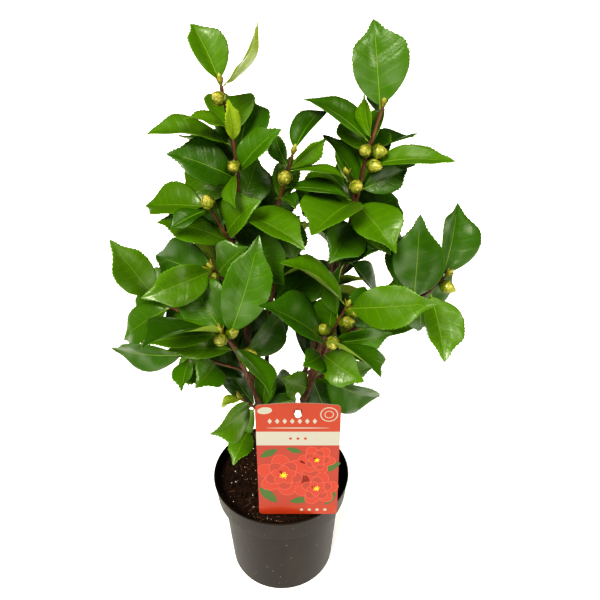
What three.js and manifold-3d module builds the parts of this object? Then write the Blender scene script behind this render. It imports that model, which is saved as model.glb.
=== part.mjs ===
// A camellia shrub in a round nursery pot, with the picture label that is pushed into its soil.
// Millimetres, +Z up, origin at the middle of the pot's flat underside, front towards -Y.
//
// The shrub is worked out in three layers. Limbs are the trunk and the boughs, each a tapering
// tube along a curve. Shoots are the twigs that carry the foliage: each row of SHOOTS starts on
// a limb or on an earlier shoot. Leaves come last: first the leading leaves that a shoot's row
// names, then the others, in a spiral round the shoot, by seeded dice. A leaf that would come
// too near a limb, a twig, the pot, the label or another leaf turns aside, or is left out.

import * as THREE from "three";
import { mergeVertices } from "three/addons/utils/BufferGeometryUtils.js";
import Module from "manifold-3d";

// Pot: a thin wall that widens upwards to a collar
const POT_HEIGHT = 148;
const POT_FOOT_RADIUS = 67;
const POT_FOOT_ROUNDING = 5;
const POT_BODY_RADIUS = 74;
const POT_BODY_TOP = 111;
const COLLAR_FOOT_RADIUS = 81.5;
const COLLAR_FOOT = 118;
const COLLAR_TOP_RADIUS = 84.3;
const LIP_RADIUS = 85;
const LIP_DEPTH = 3;
const POT_WALL = 1.8;
const POT_FLOOR = 3;
const POT_SEGMENTS = 48;
const DRAIN_HOLES = 6;
const DRAIN_HOLE_RADIUS = 5;
const DRAIN_CIRCLE_RADIUS = 44;

// Soil: fills the pot to below its lip
const SOIL_LEVEL = 134;
const SOIL_EDGE_LEVEL = 131;
const CLEARANCE = 0.3;

// Label: a picture card that leans back against a flat plastic stake
const CARD_WIDTH = 90.5;
const CARD_HEIGHT = 160;
const CARD_ARCH = 3;
const CARD_CORNER = 5;
const CARD_THICKNESS = 0.8;
const CARD_MIDDLE_X = 21.6;
const CARD_FOOT_Y = -70.5;
const CARD_LEAN = 3;
const CARD_FOOT_Z = POT_HEIGHT + 2;
const SLOT_WIDTH = 8;
const SLOT_HEIGHT = 9;
const SLOT_BELOW_TOP = 9;
const STAKE_WIDTH = 6;
const STAKE_THICKNESS = 1.6;
const STAKE_DEPTH = 45;
const STAKE_SLANT = 5.5;
const STAKE_HEAD_RISE = 13;
const LUG_WIDTH = 5;
const LUG_HEIGHT = 6;
const LUG_REACH = 2.2;

// Leaves and buds, as fractions of a leaf's length unless said otherwise
const STALK = 0.09;
const STALK_RADIUS = 1;
const BLADE_WIDTH = 0.61;
const BLADE_THICKNESS = 1.4;
const BLADE_RINGS = [0.09, 0.28, 0.55, 0.82];
const WIDEST = 0.49;
const TIP_POWER = 0.92;
const LIGHT_SPREAD = 0.45;
const LIGHT_X = 20;
const BUD_LENGTH = 16;
const BUD_RADIUS = 6.2;
const BUD_ROOT = 1.5;


// Rule: dice seeds, and the ranges that the dice choose from
const LEAD_SEED = 101;
const LEAD_SEED_STEP = 17;
const SPIRAL_SEED = 5003;
const SPIRAL_SEED_STEP = 29;
const LEAD_BREADTHS = [0.96, 1.04];
const SPIRAL_BREADTHS = [0.92, 1.06];
const SPIRAL_LENGTHS = [0.82, 1.1];
const DROOPS = [20, 38];
const FOLDS = [5, 16];
const GOLDEN_TURN = 137.5;
const TURN_STRAY = 12;
const ROLL_STRAY = 12;
const LEAN_AT_FOOT = 72;
const LEAN_AT_TIP = 42;
const LEAN_STRAY = 8;
const BARE_FOOT = 0.15;
const CROWDING = 0.8;
const TRY_TURNS = [0, 25, -25, 50, -50, 75, -75];
const TRY_LENGTHS = [1, 0.82];

// Room: how close a leaf may come to another mass's leaf, its own mass's leaf, a limb or shoot,
// the pot and the label, and where a blade is tested
const LEAF_GAP = 2.2;
const TWIN_GAP = 0.8;
const LIMB_GAP = 1.5;
const POT_SPACE = 4;
const CARD_SPACE = 7;
const OWN_STEM = 0.2;
const BEAD_STEP = 6;
const TEST_STATIONS = [0.16, 0.3, 0.44, 0.58, 0.72, 0.86, 1];
const TEST_SIDES = [-1, -0.5, 0, 0.5, 1];

// Fineness of the solids
const TRUNK_SIDES = 12;
const BOUGH_SIDES = 7;
const SHOOT_SIDES = 3;
const BOUGH_RING_STEP = 22;
const SHOOT_RING_STEP = 30;
const RIM = [-1, 0, 1, 0];

// Trunk and boughs: where each starts, the places it passes and its radius at both ends
const LIMBS = [
  {
    name: "trunk",
    from: [2, 0, SOIL_LEVEL + CLEARANCE],
    through: [[0, -1, 158], [4, -4, 188]],
    radii: [8, 6.2],
    flare: 4.5,
  },
  {
    name: "left_leader",
    on: "trunk",
    at: 0.8,
    through: [[-20, -8, 240], [-31, -6, 320], [-35, 2, 405], [-40, 6, 466]],
    radii: [4.7, 3],
  },
  {
    name: "right_leader",
    on: "trunk",
    at: 1,
    through: [[27, 2, 258], [50, 13, 340], [57, 18, 405], [75, 16, 476]],
    radii: [4.9, 3],
  },
  {
    name: "middle_leader",
    on: "left_leader",
    at: 0.24,
    through: [[-15, 8, 300], [-9, 12, 390], [-4, 13, 466]],
    radii: [2.8, 2],
  },
  {
    name: "front_left_bough",
    on: "left_leader",
    at: 0.15,
    through: [[-20, -22, 268], [-29, -31, 305], [-38, -42, 350]],
    radii: [3.2, 2.3],
  },
  {
    name: "front_right_bough",
    on: "right_leader",
    at: 0.2,
    through: [[31, -15, 281], [39, -23, 312], [47, -36, 352]],
    radii: [3.2, 2.3],
  },
  {
    name: "far_left_bough",
    on: "left_leader",
    at: 0.5,
    through: [[-66, -10, 368], [-98, -12, 388]],
    radii: [2.6, 2],
  },
  {
    name: "far_right_bough",
    on: "right_leader",
    at: 0.42,
    through: [[86, -9, 370], [124, -20, 397]],
    radii: [2.8, 2],
  },
  {
    name: "back_left_bough",
    on: "trunk",
    at: 0.65,
    through: [[-22, 32, 245], [-42, 56, 315]],
    radii: [3.6, 2.4],
  },
  {
    name: "back_right_bough",
    on: "trunk",
    at: 0.92,
    through: [[24, 38, 250], [48, 62, 325]],
    radii: [3.6, 2.4],
  },
];

// Shoots, in masses. A shoot leaves `on` at the fraction `at` of its length and ends at `to`;
// `bow` bends its middle aside. Columns of `leads`, its leading leaves: fraction of the shoot,
// bearing, rise, length, roll, and breadth against the usual one where it isn't 1. Columns of
// `buds`: fraction, bearing, rise. `leaves` is the number of leaves in the spiral, `size` their
// usual length and `turn` the bearing that the spiral starts from. Millimetres and degrees.
const SHOOTS = [
  {
    mass: "foliage_left_top",
    name: "left_top",
    on: "left_leader",
    at: 1,
    to: [-47, 12, 614],
    bow: [7, 0, 0],
    radii: [2.8, 1.3],
    leads: [
      [0.99, 141, 55, 62, 26, 0.97],
      [0.98, 48, 47, 71, 150, 0.82],
      [0.63, 189, 13, 81, -15, 1.01],
      [0.65, 268, 69, 46, 167, 0.57],
      [0.67, 98, 21, 77, 27, 0.99],
      [0, 48, 22, 89, 53, 0.84],
      [0.41, 205, 28, 74, -72, 0.97],
      [0.45, 347, 47, 64, 48, 0.83],
      [0.13, 325, -44, 80, 26],
      [0.18, 318, -5, 93, -8, 0.73],
      [0.17, 70, 36, 70, 61, 0.99],
      [0.49, 144, 12, 79, 22, 1.06],
      [0.32, 150, 7, 67, -51, 0.95],
      [0.51, 79, 36, 81, 36, 1.08],
      [0.47, 270, -24, 49, 20, 0.66],
      [0.73, 212, 21, 47, -39, 0.84],
    ],
    buds: [[0.5, 255, 15], [0.9, 240, 30]],
  },
  {
    mass: "foliage_left_upper",
    name: "left_upper",
    on: "left_leader",
    at: 0.95,
    to: [-64, -5, 505],
    bow: [0, -1, -3],
    radii: [2, 1.2],
    leads: [
      [0.98, 155, -9, 79, -19, 0.91],
      [0.95, 215, -12, 48, -33, 0.66],
      [0.17, 186, 21, 79, -32, 1.06],
      [0.51, 113, 40, 55, 26, 1.07],
      [0.43, 321, 46, 67, 50],
    ],
    buds: [[0.95, 255, 60]],
  },
  {
    mass: "foliage_middle_top",
    name: "middle_top",
    on: "middle_leader",
    at: 1,
    to: [17, 6, 553],
    bow: [-2, 0, 0],
    radii: [1.9, 1.2],
    leads: [
      [0.8, 349, -3, 61, 11, 0.67],
      [0.99, 62, 23, 76, 13, 0.7],
      [0.84, 123, 46, 38, -46, 0.76],
      [0.81, 10, 39, 47, 120, 0.64],
      [0.48, 295, 7, 39, -7, 0.87],
      [0.34, 310, -62, 56, -30, 1.12],
      [0.42, 66, 55, 50, 65, 0.88],
      [0.6, -12, -2, 67, 15, 0.81],
    ],
    buds: [[0.7, 270, 30]],
  },
  {
    mass: "foliage_left_middle",
    name: "left_middle",
    on: "left_leader",
    at: 0.72,
    to: [-62, -24, 447],
    bow: [2, 0, -3],
    radii: [1.8, 1.2],
    leads: [
      [0.98, 222, -2, 80, -77, 0.79],
      [0.76, 156, 6, 83, -38, 0.94],
      [0.87, 333, 48, 53, 43, 1.05],
    ],
    buds: [[1, 195, -15], [0.8, 210, 15]],
  },
  {
    mass: "foliage_far_left",
    name: "far_left",
    on: "far_left_bough",
    at: 1,
    to: [-132, -15, 418],
    bow: [0, 0, -2],
    radii: [1.9, 1.2],
    leads: [
      [0.81, 221, 62, 83, -161, 0.75],
      [0.34, 173, -36, 75, -37, 0.88],
      [0.17, 128, 7, 77, -32, 1.1],
      [0.66, 162, 18, 49, -10, 0.73],
    ],
  },
  {
    mass: "foliage_front_left",
    name: "front_left",
    on: "front_left_bough",
    at: 1,
    to: [-52, -62, 397],
    bow: [2, -1, 0],
    radii: [2.1, 1.2],
    leads: [
      [0.77, 36, 66, 110, 62, 0.71],
      [0.94, 201, 7, 79, -10, 0.65],
      [0.86, 139, 45, 72, -5, 1.09],
      [0.39, 195, 12, 69, -23, 0.62],
      [0.69, 133, 40, 67, -22, 0.78],
      [0.57, 306, -9, 77, -54, 0.83],
      [0.06, 61, 8, 90, 84, 0.78],
      [1, 234, 23, 102, 2, 0.87],
    ],
    buds: [[0.9, 15, 15], [0.85, 240, 15], [0.2, 345, 15]],
  },
  {
    mass: "foliage_left_low",
    name: "left_low",
    on: "front_left_bough",
    at: 0.88,
    to: [-98, -50, 366],
    bow: [0, -3, 2],
    radii: [1.7, 1.1],
    leads: [
      [0.87, 166, -6, 89, -84, 0.72],
      [0.83, 267, -13, 47, -1, 0.7],
      [0.46, 258, 6, 51, -66, 1.11],
      [0.5, 190, -22, 42, -41, 1.12],
      [0.68, 127, 19, 77, 18, 0.71],
    ],
  },
  {
    mass: "foliage_skirt_left",
    name: "skirt_left",
    on: "front_left_bough",
    at: 0.3,
    to: [-40, -38, 296],
    bow: [0, 0, -2],
    radii: [1.7, 1.1],
    leads: [
      [0.55, 239, 13, 73, -95, 0.94],
      [0.2, 129, 27, 79, -26, 0.63],
      [0.35, 172, -60, 41, -48, 1.11],
      [0.92, 163, -31, 35, 1, 0.62],
      [0.03, 59, 72, 62, 46, 0.66],
    ],
  },
  {
    mass: "foliage_soil_left",
    name: "soil_left",
    on: "trunk",
    at: 0.9,
    to: [-34, -20, 236],
    bow: [-6, -4, -4],
    radii: [1.7, 1.1],
    leads: [[1, 246, -18, 49, -20]],
  },
  {
    mass: "foliage_right_top",
    name: "right_top",
    on: "right_leader",
    at: 1,
    to: [99, 10, 596],
    bow: [-2, 0, 0],
    radii: [2.9, 1.3],
    leads: [
      [0.94, 124, 75, 81, -72, 1.05],
      [0.7, 149, 25, 83, -19, 0.9],
      [0.61, 46, 3, 78, -18, 0.81],
      [0.52, 354, 5, 85, 25, 0.58],
      [0.73, 112, 64, 44, -114, 0.71],
      [0.31, 18, 18, 56, 65, 0.74],
      [0.2, 296, -15, 79, 40, 0.98],
      [0.22, 237, -4, 85, 15, 1.12],
      [0.33, 122, 32, 74, -8, 0.71],
      [0.04, 246, -18, 62, -13, 1.07],
      [0.07, 40, 2, 72, 20, 1.12],
      [0.1, 106, 38, 64, -55, 0.77],
      [0.6, 88, 20, 78, -51, 1.09],
      [0.92, 80, 24, 42, -39, 0.9],
    ],
    buds: [[0.65, 345, 0], [0.65, 240, 15], [0.55, 315, 0]],
  },
  {
    mass: "foliage_right_top",
    name: "right_inner",
    on: "right_top",
    at: 0.2,
    to: [69, 5, 532],
    bow: [0, 0, 0],
    radii: [1.6, 1.1],
    leads: [
      [0.17, 72, 35, 96, -36],
      [0.11, 150, -2, 69, -83, 1.12],
    ],
    buds: [[0.6, 300, 20]],
  },
  {
    mass: "foliage_right_middle",
    name: "right_middle",
    on: "right_leader",
    at: 0.72,
    to: [56, 0, 444],
    bow: [0, 0, 0],
    radii: [1.6, 1.1],
    leads: [[0.96, 334, 27, 56, 48, 0.83]],
  },
  {
    mass: "foliage_front_right",
    name: "front_right",
    on: "front_right_bough",
    at: 1,
    to: [68, -61, 426],
    bow: [-2, -1, 0],
    radii: [2.1, 1.2],
    leads: [
      [0.97, 327, 20, 97, 59, 0.67],
      [1, 176, 38, 78, 25, 0.94],
      [0.28, -5, 14, 67, 74, 0.79],
      [0.25, 218, 44, 110, -6, 0.72],
      [0.7, 43, 4, 60, 29, 1.12],
      [0.25, 302, 10, 87, -24],
      [0.03, 316, -10, 55, 53, 1.12],
      [0, 238, 12, 38, -18, 1.12],
      [0.38, 81, 22, 64, -40, 1.04],
      [0.73, 82, 33, 69, -77, 0.83],
    ],
    buds: [[0.95, 345, 0], [0.7, 345, 15], [0.5, 165, 15], [0.4, 285, 0]],
  },
  {
    mass: "foliage_far_right",
    name: "far_right",
    on: "far_right_bough",
    at: 1,
    to: [167, -28, 441],
    bow: [2, 0, -3],
    radii: [1.9, 1.2],
    leads: [
      [0.89, 70, 55, 80, 12, 1.12],
      [0.33, 253, 85, 99, -106, 0.83],
      [0.65, 277, -36, 75, 15, 0.92],
      [0.07, 34, 25, 82, 81],
      [0.46, 108, 40, 77, -101, 0.92],
      [0.16, 98, 6, 51, -72, 0.89],
      [0.46, 60, -70, 53, 121, 0.75],
    ],
    buds: [[0.85, 330, -15]],
  },
  {
    mass: "foliage_right_low",
    name: "right_low",
    on: "right_leader",
    at: 0.34,
    to: [62, -22, 326],
    bow: [0, 0, -3],
    radii: [1.7, 1.1],
    leads: [
      [0.47, 18, -35, 93, 94, 0.87],
      [0.08, -3, -71, 61, 84, 1.12],
      [0.78, 9, 0, 51, 66, 0.74],
    ],
  },
  {
    mass: "foliage_middle_low",
    name: "middle_low",
    on: "right_leader",
    at: 0.16,
    to: [34, -16, 292],
    bow: [0, 0, 2],
    radii: [1.6, 1.1],
    leads: [
      [0.99, 217, 39, 49, -49, 1.12],
      [0.8, 131, -13, 63, -60, 0.93],
      [0.73, 180, -19, 51, -43, 0.73],
    ],
  },
  {
    mass: "foliage_left_inner",
    name: "left_inner",
    on: "left_leader",
    at: 0.38,
    to: [-62, 22, 352],
    bow: [0, 0, -3],
    radii: [1.7, 1.1],
    leads: [[0.31, 229, 36, 65, -69, 0.84]],
    leaves: 6,
    size: 72,
    turn: 0,
  },
  {
    mass: "foliage_back_left_low",
    name: "back_left_low",
    on: "back_left_bough",
    at: 0.6,
    to: [-82, 62, 300],
    bow: [0, 0, -3],
    radii: [1.8, 1.1],
    leads: [
      [0.4, 61, 22, 104, 35, 1.12],
      [0.23, 140, 13, 74, -33, 0.95],
    ],
    leaves: 6,
    size: 72,
    turn: 144,
  },
  {
    mass: "foliage_back_left",
    name: "back_left",
    on: "back_left_bough",
    at: 1,
    to: [-74, 88, 392],
    bow: [4, 0, 0],
    radii: [2.2, 1.2],
    leads: [[1, 113, 10, 44, -29, 0.95]],
    leaves: 9,
    size: 72,
    turn: 285,
    buds: [[1, 120, 40]],
  },
  {
    mass: "foliage_back_left_upper",
    name: "back_left_upper",
    on: "left_leader",
    at: 0.86,
    to: [-66, 62, 486],
    bow: [0, 0, -3],
    radii: [1.8, 1.2],
    leaves: 7,
    size: 72,
    turn: 60,
    buds: [[1, 110, 30]],
  },
  {
    mass: "foliage_back_middle",
    name: "back_middle",
    on: "middle_leader",
    at: 0.55,
    to: [4, 66, 456],
    bow: [0, 0, -3],
    radii: [1.8, 1.2],
    leads: [[0.14, 45, 16, 105, 43, 1.1]],
    leaves: 7,
    size: 72,
    turn: 240,
  },
  {
    mass: "foliage_back_right",
    name: "back_right",
    on: "back_right_bough",
    at: 1,
    to: [82, 92, 398],
    bow: [-4, 0, 0],
    radii: [2.2, 1.2],
    leads: [
      [0.36, 248, -9, 57, -5, 1.12],
      [0.95, 181, 45, 79, -24, 1.05],
      [0.99, 14, -54, 68, 47, 0.98],
    ],
    leaves: 7,
    size: 62,
    turn: 330,
    buds: [[1, 60, 40]],
  },
  {
    mass: "foliage_back_right_low",
    name: "back_right_low",
    on: "back_right_bough",
    at: 0.6,
    to: [86, 56, 306],
    bow: [0, 0, -3],
    radii: [1.8, 1.1],
    leads: [
      [0.12, 68, 30, 106, 16, 1.12],
      [0.06, 334, -15, 72, 51, 0.95],
      [0.92, 5, 15, 95, 19, 0.74],
    ],
    leaves: 6,
    size: 72,
    turn: 45,
  },
  {
    mass: "foliage_back_right_upper",
    name: "back_right_upper",
    on: "right_leader",
    at: 0.86,
    to: [92, 66, 500],
    bow: [0, 0, -3],
    radii: [1.8, 1.2],
    leads: [[0.6, 306, -19, 63, 54, 0.86]],
    leaves: 7,
    size: 72,
    turn: 255,
    buds: [[1, 70, 30]],
  },
];

// Vectors and dice
const UP = new THREE.Vector3(0, 0, 1);
const radians = THREE.MathUtils.degToRad;
const vector = (place) => new THREE.Vector3(...place);
const mix = THREE.MathUtils.lerp;

function heading(bearing, rise) {
  const b = radians(bearing);
  const r = radians(rise);
  return new THREE.Vector3(Math.cos(r) * Math.cos(b), Math.cos(r) * Math.sin(b), Math.sin(r));
}

function dice(seed) {
  let state = seed;
  return () => {
    state = (state * 48271) % 2147483647;
    return state / 2147483647;
  };
}

// The part of `v` that is square to `axis`, at unit length
function squareTo(v, axis) {
  return v.clone().addScaledVector(axis, -v.dot(axis)).normalize();
}

// Limbs and shoots
function stem(row, start) {
  const places = [start, ...row.through.map(vector)];
  const curve = new THREE.CatmullRomCurve3(places, false, "catmullrom", 0.5);
  const [r0, r1] = row.radii;
  const overall = places.at(-1).clone().sub(start).normalize();
  const side = Math.abs(overall.x) > 0.8 ? new THREE.Vector3(0, 1, 0) : new THREE.Vector3(1, 0, 0);
  return {
    ...row,
    length: curve.getLength(),
    point: (t) => curve.getPoint(t),
    along: (t) => curve.getTangent(t),
    radius: (t) => mix(r0, r1, t) + (row.flare ?? 0) * Math.exp(-t * 6),
    across: (t) => squareTo(side, curve.getTangent(t)),
  };
}

function growStems() {
  const stems = new Map();
  for (const row of LIMBS) {
    const start = row.on ? stems.get(row.on).point(row.at) : vector(row.from);
    stems.set(row.name, stem(row, start));
  }
  for (const row of SHOOTS) {
    const start = stems.get(row.on).point(row.at);
    const tip = vector(row.to);
    const middle = start.clone().lerp(tip, 0.5).add(vector(row.bow));
    stems.set(row.name, stem({ ...row, through: [middle.toArray(), row.to] }, start));
  }
  return stems;
}

// The middle of a bud that sits on a shoot, pointing along its bearing and rise
function budMiddle(shoot, [at, bearing, rise]) {
  const reach = shoot.radius(at) + BUD_LENGTH / 2 - BUD_ROOT;
  return shoot.point(at).addScaledVector(heading(bearing, rise), reach);
}

// Points along every stem and in every bud, for keeping leaves clear of them
function beadsOf(stems) {
  const beads = [];
  for (const s of stems.values()) {
    const count = Math.ceil(s.length / BEAD_STEP);
    for (let i = 0; i <= count; i++) {
      const t = i / count;
      beads.push({ place: s.point(t), radius: s.radius(t) });
    }
    for (const bud of s.buds ?? []) beads.push({ place: budMiddle(s, bud), radius: BUD_RADIUS });
  }
  return beads;
}

// Leaves
// Half the blade's width at fraction s of the leaf's length
function halfWidth(leaf, s) {
  if (s <= STALK || s >= 1) return s >= 1 ? 0 : STALK_RADIUS;
  const f = (s - STALK) / (1 - STALK);
  const rootPower = (TIP_POWER * WIDEST) / (1 - WIDEST);
  const peak = WIDEST ** rootPower * (1 - WIDEST) ** TIP_POWER;
  const form = (f ** rootPower * (1 - f) ** TIP_POWER) / peak;
  return Math.max(STALK_RADIUS, 0.5 * leaf.length * leaf.broad * form);
}

// A leaf at `base` that points `along`, rolled from the light by form.roll
function makeLeaf(row, base, along, form) {
  const light = new THREE.Vector3(base.x - LIGHT_X, base.y, 0);
  if (light.length() > 0) light.normalize();
  light.multiplyScalar(LIGHT_SPREAD).add(UP);
  const face = squareTo(light, along).applyAxisAngle(along, radians(form.roll));
  const side = face.clone().cross(along);
  const { length, broad, droop, fold } = form;
  const leaf = { mass: row.mass, base, along, face, side, length, broad };
  leaf.bend = radians(droop);
  leaf.fold = Math.tan(radians(fold));
  leaf.turn = length / (2 * Math.sin(leaf.bend / 2));
  leaf.centre = base.clone().addScaledVector(along, length / 2);
  leaf.tests = [];
  for (const s of TEST_STATIONS) {
    for (const across of TEST_SIDES) leaf.tests.push(bladePoint(leaf, s, across, 0));
  }
  return leaf;
}

// A point of the leaf: s along it, `across` from -1 to 1 over its width, `lift` off its face
function bladePoint(leaf, s, across, lift) {
  const angle = leaf.bend * (s - 0.5);
  const out = across * halfWidth(leaf, s);
  const rise = lift + Math.abs(out) * leaf.fold;
  const radius = leaf.turn + rise;
  const x = leaf.turn * Math.sin(leaf.bend / 2) + radius * Math.sin(angle);
  const z = radius * Math.cos(angle) - leaf.turn * Math.cos(leaf.bend / 2);
  return leaf.base
    .clone()
    .addScaledVector(leaf.along, x)
    .addScaledVector(leaf.side, out)
    .addScaledVector(leaf.face, z);
}

// Where a point lies on a leaf: its height off the blade, or null away from the blade
function heightOver(leaf, point, margin) {
  const v = point.clone().sub(leaf.base);
  const x = v.dot(leaf.along) - leaf.turn * Math.sin(leaf.bend / 2);
  const z = v.dot(leaf.face) + leaf.turn * Math.cos(leaf.bend / 2);
  const out = v.dot(leaf.side);
  const s = Math.atan2(x, z) / leaf.bend + 0.5;
  if (s < STALK + 0.05 || s > 1 + margin / leaf.length) return null;
  if (Math.abs(out) > halfWidth(leaf, Math.min(s, 0.999)) + margin) return null;
  return Math.hypot(x, z) - leaf.turn - Math.abs(out) * leaf.fold;
}

// Whether any sample of leaf a lies on leaf b, or two neighbouring samples lie on both sides
function crosses(a, b, gap) {
  const row = TEST_SIDES.length;
  const heights = a.tests.map((p) => heightOver(b, p, gap));
  for (let i = 0; i < heights.length; i++) {
    if (heights[i] === null) continue;
    if (Math.abs(heights[i]) < gap) return true;
    const next = i % row === row - 1 ? null : heights[i + 1];
    const ahead = heights[i + row] ?? null;
    if (next !== null && Math.sign(next) !== Math.sign(heights[i])) return true;
    if (ahead !== null && Math.sign(ahead) !== Math.sign(heights[i])) return true;
  }
  return false;
}

function meetsLeaf(a, b) {
  const gap = a.mass === b.mass ? TWIN_GAP : LEAF_GAP;
  if (a.centre.distanceTo(b.centre) > (a.length + b.length) / 2 + gap) return false;
  return crosses(a, b, gap) || crosses(b, a, gap);
}

function meetsStem(leaf, bead) {
  if (leaf.centre.distanceTo(bead.place) > leaf.length / 2 + bead.radius + LIMB_GAP) return false;
  if (leaf.base.distanceTo(bead.place) < OWN_STEM * leaf.length) return false;
  const height = heightOver(leaf, bead.place, bead.radius);
  return height !== null && Math.abs(height) < bead.radius + LIMB_GAP;
}

// Whether a point is inside the pot, the soil or the label's space
function offLimits(point) {
  const cardY = CARD_FOOT_Y + (point.z - CARD_FOOT_Z) * Math.tan(radians(CARD_LEAN));
  const besideCard = Math.abs(point.x - CARD_MIDDLE_X) > CARD_WIDTH / 2 + POT_SPACE;
  const besideStake = Math.abs(point.x - CARD_MIDDLE_X) > STAKE_WIDTH + POT_SPACE;
  const cardTop = CARD_FOOT_Z + CARD_HEIGHT + POT_SPACE + (besideStake ? 0 : STAKE_HEAD_RISE);
  if (!besideCard && point.z < cardTop && Math.abs(point.y - cardY) < CARD_SPACE) return true;
  const out = Math.hypot(point.x, point.y);
  if (point.z > POT_HEIGHT + POT_SPACE) return false;
  return out > COLLAR_FOOT_RADIUS - POT_SPACE || point.z < SOIL_LEVEL + POT_SPACE;
}

function hasRoom(leaf, leaves, beads) {
  if (leaf.tests.some(offLimits)) return false;
  if (beads.some((bead) => meetsStem(leaf, bead))) return false;
  return !leaves.some((other) => meetsLeaf(leaf, other));
}

function growLeads(row, index, shoot, leaves, beads) {
  const random = dice(LEAD_SEED + LEAD_SEED_STEP * index);
  for (const [at, bearing, rise, length, roll, width = 1] of row.leads ?? []) {
    const form = {
      length,
      roll,
      broad: BLADE_WIDTH * width * mix(...LEAD_BREADTHS, random()),
      droop: mix(...DROOPS, random()),
      fold: mix(...FOLDS, random()),
    };
    const leaf = makeLeaf(row, shoot.point(at), heading(bearing, rise), form);
    if (hasRoom(leaf, leaves, beads)) leaves.push(leaf);
  }
}

function growSpiral(row, index, shoot, leaves, beads) {
  const random = dice(SPIRAL_SEED + SPIRAL_SEED_STEP * index);
  const count = row.leaves ?? 0;
  for (let i = 0; i < count; i++) {
    const at = mix(BARE_FOOT, 1, ((i + 1) / count) ** CROWDING);
    const spin = row.turn + GOLDEN_TURN * i + mix(-TURN_STRAY, TURN_STRAY, random());
    const lean = mix(LEAN_AT_FOOT, LEAN_AT_TIP, at) + mix(-LEAN_STRAY, LEAN_STRAY, random());
    const form = {
      length: row.size * mix(...SPIRAL_LENGTHS, random()),
      broad: BLADE_WIDTH * mix(...SPIRAL_BREADTHS, random()),
      droop: mix(...DROOPS, random()),
      fold: mix(...FOLDS, random()),
      roll: mix(-ROLL_STRAY, ROLL_STRAY, random()),
    };
    const leaf = tryLeaves(row, shoot, at, spin, lean, form, leaves, beads);
    if (leaf) leaves.push(leaf);
  }
}

// The first leaf with room: turned aside more and more, then the same again but shorter
function tryLeaves(row, shoot, at, spin, lean, form, leaves, beads) {
  const along = shoot.along(at);
  for (const scale of TRY_LENGTHS) {
    for (const turn of TRY_TURNS) {
      const out = shoot.across(at).applyAxisAngle(along, radians(spin + turn));
      const way = along.clone().multiplyScalar(Math.cos(radians(lean)));
      way.addScaledVector(out, Math.sin(radians(lean)));
      const tried = { ...form, length: form.length * scale };
      const leaf = makeLeaf(row, shoot.point(at), way, tried);
      if (hasRoom(leaf, leaves, beads)) return leaf;
    }
  }
  return null;
}

function growLeaves(stems) {
  const beads = beadsOf(stems);
  const leaves = [];
  SHOOTS.forEach((row, i) => growLeads(row, i, stems.get(row.name), leaves, beads));
  SHOOTS.forEach((row, i) => growSpiral(row, i, stems.get(row.name), leaves, beads));
  return leaves;
}

// Solids
const wasm = await Module();
wasm.setup();

function solid(geometry) {
  const bare = geometry.clone();
  bare.deleteAttribute("normal");
  bare.deleteAttribute("uv");
  const merged = mergeVertices(bare, 1e-4);
  return new wasm.Manifold(
    new wasm.Mesh({
      numProp: 3,
      vertProperties: merged.attributes.position.array,
      triVerts: new Uint32Array(merged.index.array),
    }),
  );
}

function geometryOf(body) {
  const mesh = body.getMesh();
  const geometry = new THREE.BufferGeometry();
  geometry.setAttribute("position", new THREE.BufferAttribute(mesh.vertProperties, 3));
  geometry.setIndex(new THREE.BufferAttribute(mesh.triVerts, 1));
  return geometry;
}

// The largest of a solid's separate bodies: loose scraps are dropped
function mainBody(body) {
  return body.decompose().reduce((a, b) => (a.volume() > b.volume() ? a : b));
}

// A tapering tube along a stem: a cylinder whose rings are moved onto the curve
function stemSolid(s, sides, rings, grow = 0) {
  const geometry = new THREE.CylinderGeometry(1, 1, 1, sides, rings);
  const place = geometry.attributes.position;
  for (let i = 0; i < place.count; i++) {
    const t = place.getY(i) + 0.5;
    const along = s.along(t);
    const across = s.across(t);
    const other = across.clone().cross(along);
    const radius = s.radius(t) + grow;
    const end = t < 0.001 ? -grow : t > 0.999 ? grow : 0;
    const p = s
      .point(t)
      .addScaledVector(across, place.getX(i) * radius)
      .addScaledVector(other, place.getZ(i) * radius)
      .addScaledVector(along, end);
    place.setXYZ(i, p.x, p.y, p.z);
  }
  return solid(geometry);
}

// A leaf: a sphere's grid, four corners round and one ring for each station along the blade
function leafSolid(leaf) {
  const rings = BLADE_RINGS.length + 1;
  const geometry = new THREE.SphereGeometry(1, 4, rings);
  const place = geometry.attributes.position;
  const stations = [-STALK_RADIUS / leaf.length, ...BLADE_RINGS, 1];
  for (let i = 0; i < place.count; i++) {
    const ring = Math.floor(i / 5);
    const corner = (i % 5) % 4;
    const lift = corner === 3 ? -BLADE_THICKNESS : 0;
    const end = ring === 0 || ring === rings;
    const p = bladePoint(leaf, stations[ring], end ? 0 : RIM[corner], end ? 0 : lift);
    place.setXYZ(i, p.x, p.y, p.z);
  }
  return solid(geometry);
}

function budSolid(shoot, bud) {
  const geometry = new THREE.SphereGeometry(1, 6, 5);
  geometry.scale(BUD_RADIUS, BUD_LENGTH / 2, BUD_RADIUS);
  const way = heading(bud[1], bud[2]);
  const turn = new THREE.Quaternion().setFromUnitVectors(new THREE.Vector3(0, 1, 0), way);
  geometry.applyQuaternion(turn);
  const middle = budMiddle(shoot, bud);
  geometry.translate(middle.x, middle.y, middle.z);
  return solid(geometry);
}

// Materials
function paint(color, roughness, metalness = 0) {
  return new THREE.MeshStandardMaterial({ color, roughness, metalness });
}
const POT_PLASTIC = paint("#3f3b34", 0.45);
const POTTING_SOIL = paint("#2b211b", 0.95);
const BARK = paint("#6b4630", 0.8);
const LEAF_GREEN = paint("#2f6b1f", 0.4);
const CARD_PRINT = paint("#d9503a", 0.35);
const STAKE_PLASTIC = paint("#f2f1ec", 0.4);

function named(name, geometry, material) {
  const mesh = new THREE.Mesh(geometry, material);
  mesh.name = name;
  return mesh;
}

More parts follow.
